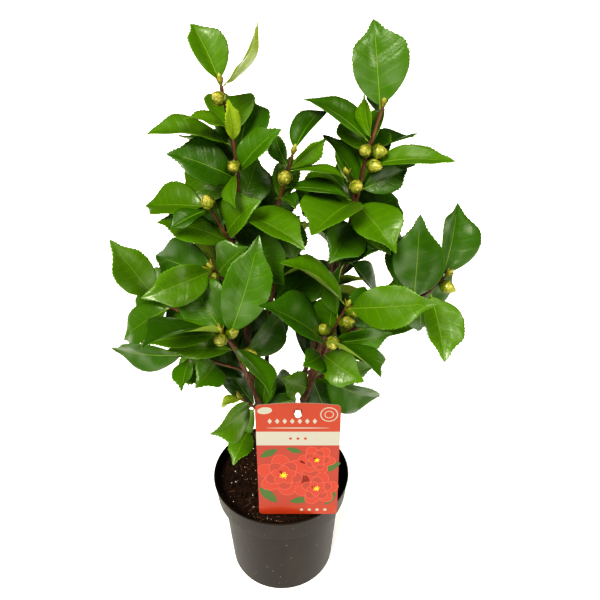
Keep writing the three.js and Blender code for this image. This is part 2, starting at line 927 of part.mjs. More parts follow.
// Pot and soil
function turned(profile, segments) {
  const geometry = new THREE.LatheGeometry(
    profile.map(([r, z]) => new THREE.Vector2(r, z)),
    segments,
  );
  return geometry.rotateX(Math.PI / 2);
}

// The pot's inner radius at height z
function innerRadius(z) {
  if (z <= POT_BODY_TOP) {
    const f = (z - POT_FLOOR) / (POT_BODY_TOP - POT_FLOOR);
    return mix(POT_FOOT_RADIUS, POT_BODY_RADIUS, f) - POT_WALL;
  }
  const f = (z - COLLAR_FOOT) / (POT_HEIGHT - COLLAR_FOOT);
  return mix(COLLAR_FOOT_RADIUS, COLLAR_TOP_RADIUS, f) - POT_WALL;
}

function potMesh() {
  const foot = [0, 30, 60, 90].map((angle) => [
    POT_FOOT_RADIUS - POT_FOOT_ROUNDING * (1 - Math.sin(radians(angle))),
    POT_FOOT_ROUNDING * (1 - Math.cos(radians(angle))),
  ]);
  const profile = [
    [0, 0],
    ...foot,
    [POT_BODY_RADIUS, POT_BODY_TOP],
    [COLLAR_FOOT_RADIUS, COLLAR_FOOT],
    [COLLAR_TOP_RADIUS, POT_HEIGHT - LIP_DEPTH],
    [LIP_RADIUS, POT_HEIGHT - LIP_DEPTH + 1],
    [LIP_RADIUS, POT_HEIGHT - 0.8],
    [LIP_RADIUS - 0.8, POT_HEIGHT],
    [innerRadius(POT_HEIGHT) + 0.4, POT_HEIGHT],
    [innerRadius(POT_HEIGHT - 1), POT_HEIGHT - 1],
    [innerRadius(COLLAR_FOOT), COLLAR_FOOT],
    [innerRadius(POT_BODY_TOP), POT_BODY_TOP],
    [innerRadius(POT_FLOOR), POT_FLOOR],
    [0, POT_FLOOR],
  ];
  let body = solid(turned(profile, POT_SEGMENTS));
  for (let i = 0; i < DRAIN_HOLES; i++) {
    const angle = (2 * Math.PI * (i + 0.5)) / DRAIN_HOLES;
    const hole = new THREE.CylinderGeometry(DRAIN_HOLE_RADIUS, DRAIN_HOLE_RADIUS, 3 * POT_FLOOR, 12);
    hole.rotateX(Math.PI / 2);
    hole.translate(DRAIN_CIRCLE_RADIUS * Math.cos(angle), DRAIN_CIRCLE_RADIUS * Math.sin(angle), 0);
    body = body.subtract(solid(hole));
  }
  return named("pot", geometryOf(body), POT_PLASTIC);
}

function soilMesh(stake) {
  const gap = CLEARANCE / Math.cos(Math.PI / POT_SEGMENTS);
  const profile = [
    [0, POT_FLOOR + CLEARANCE],
    [innerRadius(POT_FLOOR) - gap, POT_FLOOR + CLEARANCE],
    [innerRadius(POT_BODY_TOP) - gap, POT_BODY_TOP],
    [innerRadius(COLLAR_FOOT) - gap, COLLAR_FOOT + CLEARANCE],
    [innerRadius(SOIL_EDGE_LEVEL) - gap, SOIL_EDGE_LEVEL],
    [60, SOIL_LEVEL - 0.5],
    [20, SOIL_LEVEL],
    [0, SOIL_LEVEL],
  ];
  const body = solid(turned(profile, POT_SEGMENTS)).subtract(stake);
  return named("potting_soil", geometryOf(body), POTTING_SOIL);
}

// Label: the card stands in its own plane, x across and y up, before it leans back
function cardOutline() {
  const w = CARD_WIDTH / 2;
  const h = CARD_HEIGHT;
  const c = CARD_CORNER;
  const outline = new THREE.Shape();
  outline.moveTo(c - w, 0);
  outline.lineTo(w - c, 0);
  outline.quadraticCurveTo(w, 0, w, c);
  outline.lineTo(w, h - CARD_ARCH - c);
  outline.quadraticCurveTo(w, h - CARD_ARCH, w - c, h - CARD_ARCH + 0.4);
  outline.quadraticCurveTo(0, h + CARD_ARCH - 0.4, c - w, h - CARD_ARCH + 0.4);
  outline.quadraticCurveTo(-w, h - CARD_ARCH, -w, h - CARD_ARCH - c);
  outline.lineTo(-w, c);
  outline.quadraticCurveTo(-w, 0, c - w, 0);
  return outline;
}

function slab(outline, thickness, segments) {
  return new THREE.ExtrudeGeometry(outline, {
    depth: thickness,
    bevelEnabled: false,
    curveSegments: segments,
  });
}

function rectangle(x0, y0, x1, y1) {
  const shape = new THREE.Shape();
  shape.moveTo(x0, y0);
  shape.lineTo(x1, y0);
  shape.lineTo(x1, y1);
  shape.lineTo(x0, y1);
  return shape;
}

const SLOT_TOP = CARD_HEIGHT - SLOT_BELOW_TOP;

function cardSolid() {
  const card = solid(slab(cardOutline(), CARD_THICKNESS, 4));
  const w = SLOT_WIDTH / 2;
  const slot = slab(rectangle(-w, SLOT_TOP - SLOT_HEIGHT, w, SLOT_TOP), 3 * CARD_THICKNESS, 1);
  return card.subtract(solid(slot.translate(0, 0, -CARD_THICKNESS)));
}

// The stake behind the card: a pointed blade, a teardrop head, and a lug through the card's slot
function stakeSolid(grow = 0) {
  const w = STAKE_WIDTH / 2 + grow;
  const top = CARD_HEIGHT + STAKE_HEAD_RISE;
  const neck = CARD_HEIGHT + 4;
  const outline = new THREE.Shape();
  outline.moveTo(0, -STAKE_DEPTH - grow);
  outline.lineTo(w, -STAKE_DEPTH + 10);
  outline.lineTo(w, neck - 6);
  outline.lineTo(w / 2, neck);
  outline.quadraticCurveTo(w * 1.5, top - 3, 0, top);
  outline.quadraticCurveTo(-w * 1.5, top - 3, -w / 2, neck);
  outline.lineTo(-w, neck - 6);
  outline.lineTo(-w, -STAKE_DEPTH + 10);
  const blade = slab(outline, STAKE_THICKNESS + 2 * grow, 3);
  // Its foot slants back, so that it enters the soil behind the card
  blade.translate(0, -CARD_HEIGHT, -STAKE_THICKNESS - CLEARANCE - grow);
  blade.rotateX(radians(STAKE_SLANT));
  blade.translate(0, CARD_HEIGHT, 0);
  const l = LUG_WIDTH / 2;
  const lugTop = SLOT_TOP - (SLOT_HEIGHT - LUG_HEIGHT) / 2;
  const lug = slab(rectangle(-l, lugTop - LUG_HEIGHT, l, lugTop), LUG_REACH + CLEARANCE + 3, 1);
  lug.translate(0, 0, -CLEARANCE - 3);
  return solid(blade).add(solid(lug));
}

// From the card's own plane to its place, leaning back on the soil
function stood(body) {
  const geometry = geometryOf(body);
  geometry.rotateX(Math.PI / 2 - radians(CARD_LEAN));
  geometry.translate(CARD_MIDDLE_X, CARD_FOOT_Y, CARD_FOOT_Z);
  return geometry;
}

// Shrub
function limbMeshes(stems) {
  const meshes = [];
  const earlier = [];
  for (const row of LIMBS) {
    const s = stems.get(row.name);
    const isTrunk = row.name === "trunk";
    const sides = isTrunk ? TRUNK_SIDES : BOUGH_SIDES;
    const rings = Math.max(4, Math.round(s.length / BOUGH_RING_STEP));
    let body = stemSolid(s, sides, rings);
    for (const other of earlier) body = body.subtract(other);
    if (isTrunk) {
      // The root flare ends in a flat cut on the soil
      const below = new THREE.BoxGeometry(80, 80, 40);
      below.translate(0, 0, SOIL_LEVEL + CLEARANCE - 20);
      body = body.subtract(solid(below));
    }
    earlier.push(stemSolid(s, sides, rings, CLEARANCE / Math.cos(Math.PI / sides)));
    meshes.push(named(row.name, geometryOf(mainBody(body)), BARK));
  }
  return { meshes, spaces: earlier };
}

function massMeshes(stems, leaves, spaces) {
  const masses = new Map();
  const addTo = (mass, piece) => masses.set(mass, [...(masses.get(mass) ?? []), piece]);
  for (const row of SHOOTS) {
    const s = stems.get(row.name);
    const rings = Math.max(2, Math.round(s.length / SHOOT_RING_STEP));
    addTo(row.mass, stemSolid(s, SHOOT_SIDES, rings));
    for (const bud of row.buds ?? []) addTo(row.mass, budSolid(s, bud));
  }
  for (const leaf of leaves) addTo(leaf.mass, leafSolid(leaf));
  return [...masses].map(([mass, pieces]) => {
    let body = pieces.reduce((a, b) => a.add(b));
    for (const space of spaces) body = body.subtract(space);
    return named(mass, geometryOf(mainBody(body)), LEAF_GREEN);
  });
}

const stems = growStems();
const leaves = growLeaves(stems);

const shrub = new THREE.Group();
const card = stood(cardSolid());
const stake = stood(stakeSolid());
const limbs = limbMeshes(stems);
shrub.add(potMesh());
shrub.add(soilMesh(solid(stood(stakeSolid(CLEARANCE)))));
shrub.add(...limbs.meshes);
shrub.add(...massMeshes(stems, leaves, limbs.spaces));
shrub.add(named("label_card", card, CARD_PRINT));
shrub.add(named("label_stake", stake, STAKE_PLASTIC));

export default shrub;
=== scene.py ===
"""Dresses the packed camellia shrub: pot, compost, bark, twigs, leaves, buds and picture label.

Laid out as a Blender add-on and run as a script. Every piece stands in the frame of the packed
model: metres, +Z up, the front towards -Y. The shrub's rule works in millimetres."""

import math

import bmesh
import bpy
import numpy as np
from mathutils import Matrix, Vector, noise


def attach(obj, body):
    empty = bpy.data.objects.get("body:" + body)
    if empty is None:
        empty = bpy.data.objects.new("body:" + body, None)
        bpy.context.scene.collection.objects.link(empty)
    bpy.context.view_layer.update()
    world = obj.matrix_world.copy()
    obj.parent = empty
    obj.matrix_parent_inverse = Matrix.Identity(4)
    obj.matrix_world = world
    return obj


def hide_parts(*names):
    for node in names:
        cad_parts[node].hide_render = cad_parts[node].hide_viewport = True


bl_info = {
    "name": "Camellia shrub in a pot",
    "version": (1, 0, 0),
    "blender": (4, 5, 0),
    "location": "3D View > Sidebar > Shrub",
    "description": "Builds the looks of a potted camellia shrub on its packed model",
    "category": "Add Mesh",
}

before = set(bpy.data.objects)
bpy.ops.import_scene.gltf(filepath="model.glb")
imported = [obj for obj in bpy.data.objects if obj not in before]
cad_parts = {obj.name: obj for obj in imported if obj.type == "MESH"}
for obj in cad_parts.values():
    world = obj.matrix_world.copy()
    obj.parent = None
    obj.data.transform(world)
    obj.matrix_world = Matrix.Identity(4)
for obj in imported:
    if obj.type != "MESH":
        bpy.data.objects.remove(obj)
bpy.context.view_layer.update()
BODY = "root"
FOLIAGE = sorted(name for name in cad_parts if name.startswith("foliage"))
MM = 0.001

# Heights and radii of the packed model, in millimetres
SOIL_LEVEL = 134.0
SOIL_EDGE_LEVEL = 131.0
POT_HEIGHT = 148.0
POT_FLOOR = 3.0
POT_WALL = 1.8
POT_FOOT_RADIUS = 67.0
POT_BODY_RADIUS = 74.0
POT_BODY_TOP = 111.0
COLLAR_FOOT = 118.0
COLLAR_FOOT_RADIUS = 81.5
COLLAR_TOP_RADIUS = 84.3
LIP_RADIUS = 85.0
LIP_DEPTH = 3.0
DRAIN_HOLES = 6
DRAIN_HOLE_RADIUS = 5.0
DRAIN_CIRCLE_RADIUS = 44.0
CARD_WIDTH = 90.5
CARD_HEIGHT = 160.0
CARD_THICKNESS = 0.8
CARD_MIDDLE_X = 21.6
CARD_FOOT_Y = -70.5
CARD_FOOT_Z = 150.0
CARD_LEAN = 3.0
STAKE_WIDTH = 6.0
STAKE_HEAD_RISE = 13.0

# Leaf form, as in the packed model: fractions of a leaf's length unless said otherwise
STALK = 0.09
STALK_RADIUS = 1.0
BLADE_WIDTH = 0.61
WIDEST = 0.49
TIP_POWER = 0.92
LIGHT_SPREAD = 0.45
LIGHT_X = 20.0
BUD_LENGTH = 16.0
BUD_RADIUS = 6.2
BUD_ROOT = 1.5

# Rule: dice seeds, and the ranges that the dice choose from
LEAD_SEED = 101
LEAD_SEED_STEP = 17
SPIRAL_SEED = 5003
SPIRAL_SEED_STEP = 29
LEAD_BREADTHS = (0.96, 1.04)
SPIRAL_BREADTHS = (0.92, 1.06)
SPIRAL_LENGTHS = (0.82, 1.1)
DROOPS = (20, 38)
FOLDS = (5, 16)
GOLDEN_TURN = 137.5
TURN_STRAY = 12
ROLL_STRAY = 12
LEAN_AT_FOOT = 72
LEAN_AT_TIP = 42
LEAN_STRAY = 8
BARE_FOOT = 0.15
CROWDING = 0.8
TRY_TURNS = (0, 25, -25, 50, -50, 75, -75)
TRY_LENGTHS = (1, 0.82)

# Room that a leaf keeps, in millimetres, and where its blade is tested
LEAF_GAP = 2.2
TWIN_GAP = 0.8
LIMB_GAP = 1.5
POT_SPACE = 4.0
CARD_SPACE = 7.0
OWN_STEM = 0.2
BEAD_STEP = 6.0
TEST_STATIONS = (0.16, 0.3, 0.44, 0.58, 0.72, 0.86, 1)
TEST_SIDES = (-1, -0.5, 0, 0.5, 1)

# Trunk and boughs: where each starts, the places it passes and its radius at both ends
LIMBS = (
    dict(
        name="trunk", start=(2, 0, 134.3), through=((0, -1, 158), (4, -4, 188)), radii=(8, 6.2),
        flare=4.5,
    ),
    dict(
        name="left_leader", on="trunk", at=0.8,
        through=((-20, -8, 240), (-31, -6, 320), (-35, 2, 405), (-40, 6, 466)), radii=(4.7, 3),
    ),
    dict(
        name="right_leader", on="trunk", at=1,
        through=((27, 2, 258), (50, 13, 340), (57, 18, 405), (75, 16, 476)), radii=(4.9, 3),
    ),
    dict(
        name="middle_leader", on="left_leader", at=0.24,
        through=((-15, 8, 300), (-9, 12, 390), (-4, 13, 466)), radii=(2.8, 2),
    ),
    dict(
        name="front_left_bough", on="left_leader", at=0.15,
        through=((-20, -22, 268), (-29, -31, 305), (-38, -42, 350)), radii=(3.2, 2.3),
    ),
    dict(
        name="front_right_bough", on="right_leader", at=0.2,
        through=((31, -15, 281), (39, -23, 312), (47, -36, 352)), radii=(3.2, 2.3),
    ),
    dict(
        name="far_left_bough", on="left_leader", at=0.5, through=((-66, -10, 368), (-98, -12, 388)),
        radii=(2.6, 2),
    ),
    dict(
        name="far_right_bough", on="right_leader", at=0.42,
        through=((86, -9, 370), (124, -20, 397)), radii=(2.8, 2),
    ),
    dict(
        name="back_left_bough", on="trunk", at=0.65, through=((-22, 32, 245), (-42, 56, 315)),
        radii=(3.6, 2.4),
    ),
    dict(
        name="back_right_bough", on="trunk", at=0.92, through=((24, 38, 250), (48, 62, 325)),
        radii=(3.6, 2.4),
    ),
)

# Shoots, each a mass of its own, unless `mass` names the shoot whose mass it shares. A shoot leaves
# `on` at the fraction `at` of its length and ends at `to`, and `bow` bends its middle aside.
# Columns of leads, its leading leaves: fraction of the shoot, bearing, rise, length, roll, and
# breadth against the usual one where it isn't 1. Columns of buds: fraction, bearing, rise.
# `leaves` is the number of leaves in the spiral, `size` their usual length and `turn` the bearing
# that the spiral starts from. Millimetres and degrees.
SHOOTS = (
    dict(
        name="left_top", on="left_leader", at=1, to=(-47, 12, 614), bow=(7, 0, 0), radii=(2.8, 1.3),
        leads=(
            (0.99, 141, 55, 62, 26, 0.97), (0.98, 48, 47, 71, 150, 0.82),
            (0.63, 189, 13, 81, -15, 1.01), (0.65, 268, 69, 46, 167, 0.57),
            (0.67, 98, 21, 77, 27, 0.99), (0, 48, 22, 89, 53, 0.84), (0.41, 205, 28, 74, -72, 0.97),
            (0.45, 347, 47, 64, 48, 0.83), (0.13, 325, -44, 80, 26), (0.18, 318, -5, 93, -8, 0.73),
            (0.17, 70, 36, 70, 61, 0.99), (0.49, 144, 12, 79, 22, 1.06),
            (0.32, 150, 7, 67, -51, 0.95), (0.51, 79, 36, 81, 36, 1.08),
            (0.47, 270, -24, 49, 20, 0.66), (0.73, 212, 21, 47, -39, 0.84),
        ),
        buds=((0.5, 255, 15), (0.9, 240, 30)),
    ),
    dict(
        name="left_upper", on="left_leader", at=0.95, to=(-64, -5, 505), bow=(0, -1, -3),
        radii=(2, 1.2),
        leads=(
            (0.98, 155, -9, 79, -19, 0.91), (0.95, 215, -12, 48, -33, 0.66),
            (0.17, 186, 21, 79, -32, 1.06), (0.51, 113, 40, 55, 26, 1.07), (0.43, 321, 46, 67, 50),
        ),
        buds=((0.95, 255, 60),),
    ),
    dict(
        name="middle_top", on="middle_leader", at=1, to=(17, 6, 553), bow=(-2, 0, 0),
        radii=(1.9, 1.2),
        leads=(
            (0.8, 349, -3, 61, 11, 0.67), (0.99, 62, 23, 76, 13, 0.7),
            (0.84, 123, 46, 38, -46, 0.76), (0.81, 10, 39, 47, 120, 0.64),
            (0.48, 295, 7, 39, -7, 0.87), (0.34, 310, -62, 56, -30, 1.12),
            (0.42, 66, 55, 50, 65, 0.88), (0.6, -12, -2, 67, 15, 0.81),
        ),
        buds=((0.7, 270, 30),),
    ),
    dict(
        name="left_middle", on="left_leader", at=0.72, to=(-62, -24, 447), bow=(2, 0, -3),
        radii=(1.8, 1.2),
        leads=(
            (0.98, 222, -2, 80, -77, 0.79), (0.76, 156, 6, 83, -38, 0.94),
            (0.87, 333, 48, 53, 43, 1.05),
        ),
        buds=((1, 195, -15), (0.8, 210, 15)),
    ),
    dict(
        name="far_left", on="far_left_bough", at=1, to=(-132, -15, 418), bow=(0, 0, -2),
        radii=(1.9, 1.2),
        leads=(
            (0.81, 221, 62, 83, -161, 0.75), (0.34, 173, -36, 75, -37, 0.88),
            (0.17, 128, 7, 77, -32, 1.1), (0.66, 162, 18, 49, -10, 0.73),
        ),
    ),
    dict(
        name="front_left", on="front_left_bough", at=1, to=(-52, -62, 397), bow=(2, -1, 0),
        radii=(2.1, 1.2),
        leads=(
            (0.77, 36, 66, 110, 62, 0.71), (0.94, 201, 7, 79, -10, 0.65),
            (0.86, 139, 45, 72, -5, 1.09), (0.39, 195, 12, 69, -23, 0.62),
            (0.69, 133, 40, 67, -22, 0.78), (0.57, 306, -9, 77, -54, 0.83),
            (0.06, 61, 8, 90, 84, 0.78), (1, 234, 23, 102, 2, 0.87),
        ),
        buds=((0.9, 15, 15), (0.85, 240, 15), (0.2, 345, 15)),
    ),
    dict(
        name="left_low", on="front_left_bough", at=0.88, to=(-98, -50, 366), bow=(0, -3, 2),
        radii=(1.7, 1.1),
        leads=(
            (0.87, 166, -6, 89, -84, 0.72), (0.83, 267, -13, 47, -1, 0.7),
            (0.46, 258, 6, 51, -66, 1.11), (0.5, 190, -22, 42, -41, 1.12),
            (0.68, 127, 19, 77, 18, 0.71),
        ),
    ),
    dict(
        name="skirt_left", on="front_left_bough", at=0.3, to=(-40, -38, 296), bow=(0, 0, -2),
        radii=(1.7, 1.1),
        leads=(
            (0.55, 239, 13, 73, -95, 0.94), (0.2, 129, 27, 79, -26, 0.63),
            (0.35, 172, -60, 41, -48, 1.11), (0.92, 163, -31, 35, 1, 0.62),
            (0.03, 59, 72, 62, 46, 0.66),
        ),
    ),
    dict(
        name="soil_left", on="trunk", at=0.9, to=(-34, -20, 236), bow=(-6, -4, -4),
        radii=(1.7, 1.1),
        leads=((1, 246, -18, 49, -20),),
    ),
    dict(
        name="right_top", on="right_leader", at=1, to=(99, 10, 596), bow=(-2, 0, 0),
        radii=(2.9, 1.3),
        leads=(
            (0.94, 124, 75, 81, -72, 1.05), (0.7, 149, 25, 83, -19, 0.9),
            (0.61, 46, 3, 78, -18, 0.81), (0.52, 354, 5, 85, 25, 0.58),
            (0.73, 112, 64, 44, -114, 0.71), (0.31, 18, 18, 56, 65, 0.74),
            (0.2, 296, -15, 79, 40, 0.98), (0.22, 237, -4, 85, 15, 1.12),
            (0.33, 122, 32, 74, -8, 0.71), (0.04, 246, -18, 62, -13, 1.07),
            (0.07, 40, 2, 72, 20, 1.12), (0.1, 106, 38, 64, -55, 0.77),
            (0.6, 88, 20, 78, -51, 1.09), (0.92, 80, 24, 42, -39, 0.9),
        ),
        buds=((0.65, 345, 0), (0.65, 240, 15), (0.55, 315, 0)),
    ),
    dict(
        name="right_inner", mass="right_top", on="right_top", at=0.2, to=(69, 5, 532),
        bow=(0, 0, 0), radii=(1.6, 1.1),
        leads=((0.17, 72, 35, 96, -36), (0.11, 150, -2, 69, -83, 1.12),),
        buds=((0.6, 300, 20),),
    ),
    dict(
        name="right_middle", on="right_leader", at=0.72, to=(56, 0, 444), bow=(0, 0, 0),
        radii=(1.6, 1.1),
        leads=((0.96, 334, 27, 56, 48, 0.83),),
    ),
    dict(
        name="front_right", on="front_right_bough", at=1, to=(68, -61, 426), bow=(-2, -1, 0),
        radii=(2.1, 1.2),
        leads=(
            (0.97, 327, 20, 97, 59, 0.67), (1, 176, 38, 78, 25, 0.94), (0.28, -5, 14, 67, 74, 0.79),
            (0.25, 218, 44, 110, -6, 0.72), (0.7, 43, 4, 60, 29, 1.12), (0.25, 302, 10, 87, -24),
            (0.03, 316, -10, 55, 53, 1.12), (0, 238, 12, 38, -18, 1.12),
            (0.38, 81, 22, 64, -40, 1.04), (0.73, 82, 33, 69, -77, 0.83),
        ),
        buds=((0.95, 345, 0), (0.7, 345, 15), (0.5, 165, 15), (0.4, 285, 0)),
    ),
    dict(
        name="far_right", on="far_right_bough", at=1, to=(167, -28, 441), bow=(2, 0, -3),
        radii=(1.9, 1.2),
        leads=(
            (0.89, 70, 55, 80, 12, 1.12), (0.33, 253, 85, 99, -106, 0.83),
            (0.65, 277, -36, 75, 15, 0.92), (0.07, 34, 25, 82, 81), (0.46, 108, 40, 77, -101, 0.92),
            (0.16, 98, 6, 51, -72, 0.89), (0.46, 60, -70, 53, 121, 0.75),
        ),
        buds=((0.85, 330, -15),),
    ),
    dict(
        name="right_low", on="right_leader", at=0.34, to=(62, -22, 326), bow=(0, 0, -3),
        radii=(1.7, 1.1),
        leads=(
            (0.47, 18, -35, 93, 94, 0.87), (0.08, -3, -71, 61, 84, 1.12),
            (0.78, 9, 0, 51, 66, 0.74),
        ),
    ),
    dict(
        name="middle_low", on="right_leader", at=0.16, to=(34, -16, 292), bow=(0, 0, 2),
        radii=(1.6, 1.1),
        leads=(
            (0.99, 217, 39, 49, -49, 1.12), (0.8, 131, -13, 63, -60, 0.93),
            (0.73, 180, -19, 51, -43, 0.73),
        ),
    ),
    dict(
        name="left_inner", on="left_leader", at=0.38, to=(-62, 22, 352), bow=(0, 0, -3),
        radii=(1.7, 1.1),
        leads=((0.31, 229, 36, 65, -69, 0.84),),
        leaves=6, size=72, turn=0,
    ),
    dict(
        name="back_left_low", on="back_left_bough", at=0.6, to=(-82, 62, 300), bow=(0, 0, -3),
        radii=(1.8, 1.1),
        leads=((0.4, 61, 22, 104, 35, 1.12), (0.23, 140, 13, 74, -33, 0.95),),
        leaves=6, size=72, turn=144,
    ),
    dict(
        name="back_left", on="back_left_bough", at=1, to=(-74, 88, 392), bow=(4, 0, 0),
        radii=(2.2, 1.2),
        leads=((1, 113, 10, 44, -29, 0.95),),
        buds=((1, 120, 40),),
        leaves=9, size=72, turn=285,
    ),
    dict(
        name="back_left_upper", on="left_leader", at=0.86, to=(-66, 62, 486), bow=(0, 0, -3),
        radii=(1.8, 1.2),
        buds=((1, 110, 30),),
        leaves=7, size=72, turn=60,
    ),
    dict(
        name="back_middle", on="middle_leader", at=0.55, to=(4, 66, 456), bow=(0, 0, -3),
        radii=(1.8, 1.2),
        leads=((0.14, 45, 16, 105, 43, 1.1),),
        leaves=7, size=72, turn=240,
    ),
    dict(
        name="back_right", on="back_right_bough", at=1, to=(82, 92, 398), bow=(-4, 0, 0),
        radii=(2.2, 1.2),
        leads=(
            (0.36, 248, -9, 57, -5, 1.12), (0.95, 181, 45, 79, -24, 1.05),
            (0.99, 14, -54, 68, 47, 0.98),
        ),
        buds=((1, 60, 40),),
        leaves=7, size=62, turn=330,
    ),
    dict(
        name="back_right_low", on="back_right_bough", at=0.6, to=(86, 56, 306), bow=(0, 0, -3),
        radii=(1.8, 1.1),
        leads=(
            (0.12, 68, 30, 106, 16, 1.12), (0.06, 334, -15, 72, 51, 0.95),
            (0.92, 5, 15, 95, 19, 0.74),
        ),
        leaves=6, size=72, turn=45,
    ),
    dict(
        name="back_right_upper", on="right_leader", at=0.86, to=(92, 66, 500), bow=(0, 0, -3),
        radii=(1.8, 1.2),
        leads=((0.6, 306, -19, 63, 54, 0.86),),
        buds=((1, 70, 30),),
        leaves=7, size=72, turn=255,
    ),
)


# The rule: vectors and dice


def unit(v):
    return v / np.linalg.norm(v)


def heading(bearing, rise):
    """The unit vector for a bearing from +X towards +Y and a rise over the level, in degrees."""
    b, r = math.radians(bearing), math.radians(rise)
    return np.array([math.cos(r) * math.cos(b), math.cos(r) * math.sin(b), math.sin(r)])


def square_to(v, axis):
    """The part of v that is square to axis, at unit length."""
    return unit(v - axis * (v @ axis))


def rotated(v, axis, degrees):
    """v turned about a unit axis."""
    a = math.radians(degrees)
    return v * math.cos(a) + np.cross(axis, v) * math.sin(a) + axis * (axis @ v) * (1 - math.cos(a))


def mix(a, b, share):
    return a * (1 - share) + b * share


def dice(seed):
    """The same run of numbers between 0 and 1 for the same seed."""
    state = seed
    while True:
        state = state * 48271 % 2147483647
        yield state / 2147483647


class Stem:
    """A tapering limb or shoot along a smooth curve from start through its places."""

    def __init__(self, row, start, through):
        self.row = row
        self.places = [np.array(place, float) for place in (start, *through)]
        self.radii = row["radii"]
        self.flare = row.get("flare", 0)
        overall = unit(self.places[-1] - self.places[0])
        self.side = np.array([0.0, 1, 0]) if abs(overall[0]) > 0.8 else np.array([1.0, 0, 0])
        steps = [self.point(i / 200) for i in range(201)]
        self.length = sum(np.linalg.norm(b - a) for a, b in zip(steps, steps[1:]))

    def point(self, t):
        places, last = self.places, len(self.places) - 1
        span = min(int(t * last), last - 1)
        share = t * last - span
        p1, p2 = places[span], places[span + 1]
        p0 = places[span - 1] if span > 0 else 2 * p1 - p2
        p3 = places[span + 2] if span + 2 <= last else 2 * p2 - p1
        out, into = 0.5 * (p2 - p0), 0.5 * (p3 - p1)
        square, cube = -3 * p1 + 3 * p2 - 2 * out - into, 2 * p1 - 2 * p2 + out + into
        return p1 + out * share + square * share**2 + cube * share**3

    def along(self, t):
        return unit(self.point(min(t + 1e-4, 1)) - self.point(max(t - 1e-4, 0)))

    def radius(self, t):
        return mix(self.radii[0], self.radii[1], t) + self.flare * math.exp(-6 * t)

    def across(self, t):
        return square_to(self.side, self.along(t))


def grow_stems():
    """Every limb and shoot by name."""
    stems = {}
    for row in LIMBS:
        start = stems[row["on"]].point(row["at"]) if "on" in row else row["start"]
        stems[row["name"]] = Stem(row, start, row["through"])
    for row in SHOOTS:
        start = stems[row["on"]].point(row["at"])
        tip = np.array(row["to"], float)
        middle = (start + tip) / 2 + np.array(row["bow"], float)
        stems[row["name"]] = Stem(row, start, (middle, tip))
    return stems


def bud_middle(shoot, bud):
    """Where a flower bud's middle is, for the room that leaves keep."""
    at, bearing, rise = bud
    return shoot.point(at) + heading(bearing, rise) * (shoot.radius(at) + BUD_LENGTH / 2 - BUD_ROOT)


def beads_of(stems):
    """Places and radii along every stem and in every bud, for keeping leaves clear of them."""
    places, radii = [], []
    for stem in stems.values():
        count = math.ceil(stem.length / BEAD_STEP)
        for i in range(count + 1):
            places.append(stem.point(i / count))
            radii.append(stem.radius(i / count))
        for bud in stem.row.get("buds", ()):
            places.append(bud_middle(stem, bud))
            radii.append(BUD_RADIUS)
    return np.array(places), np.array(radii)


def half_width(leaf, s):
    """Half the blade's width at fractions s of the leaf's length."""
    f = np.clip((s - STALK) / (1 - STALK), 0, 1)
    root_power = TIP_POWER * WIDEST / (1 - WIDEST)
    peak = WIDEST**root_power * (1 - WIDEST) ** TIP_POWER
    form = f**root_power * (1 - f) ** TIP_POWER / peak
    width = np.maximum(STALK_RADIUS, 0.5 * leaf.length * leaf.broad * form)
    return np.where(s >= 1, 0, np.where(s <= STALK, STALK_RADIUS, width))


class Leaf:
    """A leaf at base that points along, rolled away from the light, on a bent blade."""

    def __init__(self, row, base, along, length, roll, broad, droop, fold):
        light = np.array([base[0] - LIGHT_X, base[1], 0])
        light = light / (np.linalg.norm(light) or 1) * LIGHT_SPREAD + np.array([0, 0, 1])
        self.row, self.base, self.along = row, base, along
        self.mass = row.get("mass", row["name"])
        self.face = rotated(square_to(light, along), along, roll)
        self.side = np.cross(self.face, along)
        self.length, self.broad = length, broad
        self.bend = math.radians(droop)
        self.fold = math.tan(math.radians(fold))
        self.turn = length / (2 * math.sin(self.bend / 2))
        self.centre = base + along * length / 2
        s, across = np.meshgrid(TEST_STATIONS, TEST_SIDES, indexing="ij")
        self.tests = self.points(s.ravel(), across.ravel(), 0)

    def points(self, s, across, lift):
        """Points of the blade: s along it, across over its width, lift off its face."""
        angle = self.bend * (s - 0.5)
        out = across * half_width(self, s)
        radius = self.turn + lift + abs(out) * self.fold
        x = self.turn * math.sin(self.bend / 2) + radius * np.sin(angle)
        z = radius * np.cos(angle) - self.turn * math.cos(self.bend / 2)
        places = self.base + np.outer(x, self.along) + np.outer(out, self.side)
        return places + np.outer(z, self.face)

    def heights(self, points, margin):
        """Each point's height off the blade, or nan away from the blade."""
        v = points - self.base
        x = v @ self.along - self.turn * math.sin(self.bend / 2)
        z = v @ self.face + self.turn * math.cos(self.bend / 2)
        out = abs(v @ self.side)
        s = np.arctan2(x, z) / self.bend + 0.5
        away = (s < STALK + 0.05) | (s > 1 + margin / self.length)
        away |= out > half_width(self, np.clip(s, STALK, 0.999)) + margin
        return np.where(away, np.nan, np.hypot(x, z) - self.turn - out * self.fold)


def crosses(a, b, gap):
    """Whether a test point of leaf a lies on leaf b, or two neighbouring ones on both its sides."""
    heights = b.heights(a.tests, gap).reshape(len(TEST_STATIONS), len(TEST_SIDES))
    if np.isnan(heights).all():
        return False
    if (abs(heights) < gap).any():
        return True
    over_its_width = (heights[:, 1:] * heights[:, :-1] < 0).any()
    return bool(over_its_width or (heights[1:] * heights[:-1] < 0).any())


def meets_leaf(a, b):
    """Whether two leaves come too close; those of one mass may lie closer."""
    gap = TWIN_GAP if a.mass == b.mass else LEAF_GAP
    if np.linalg.norm(a.centre - b.centre) > (a.length + b.length) / 2 + gap:
        return False
    return crosses(a, b, gap) or crosses(b, a, gap)


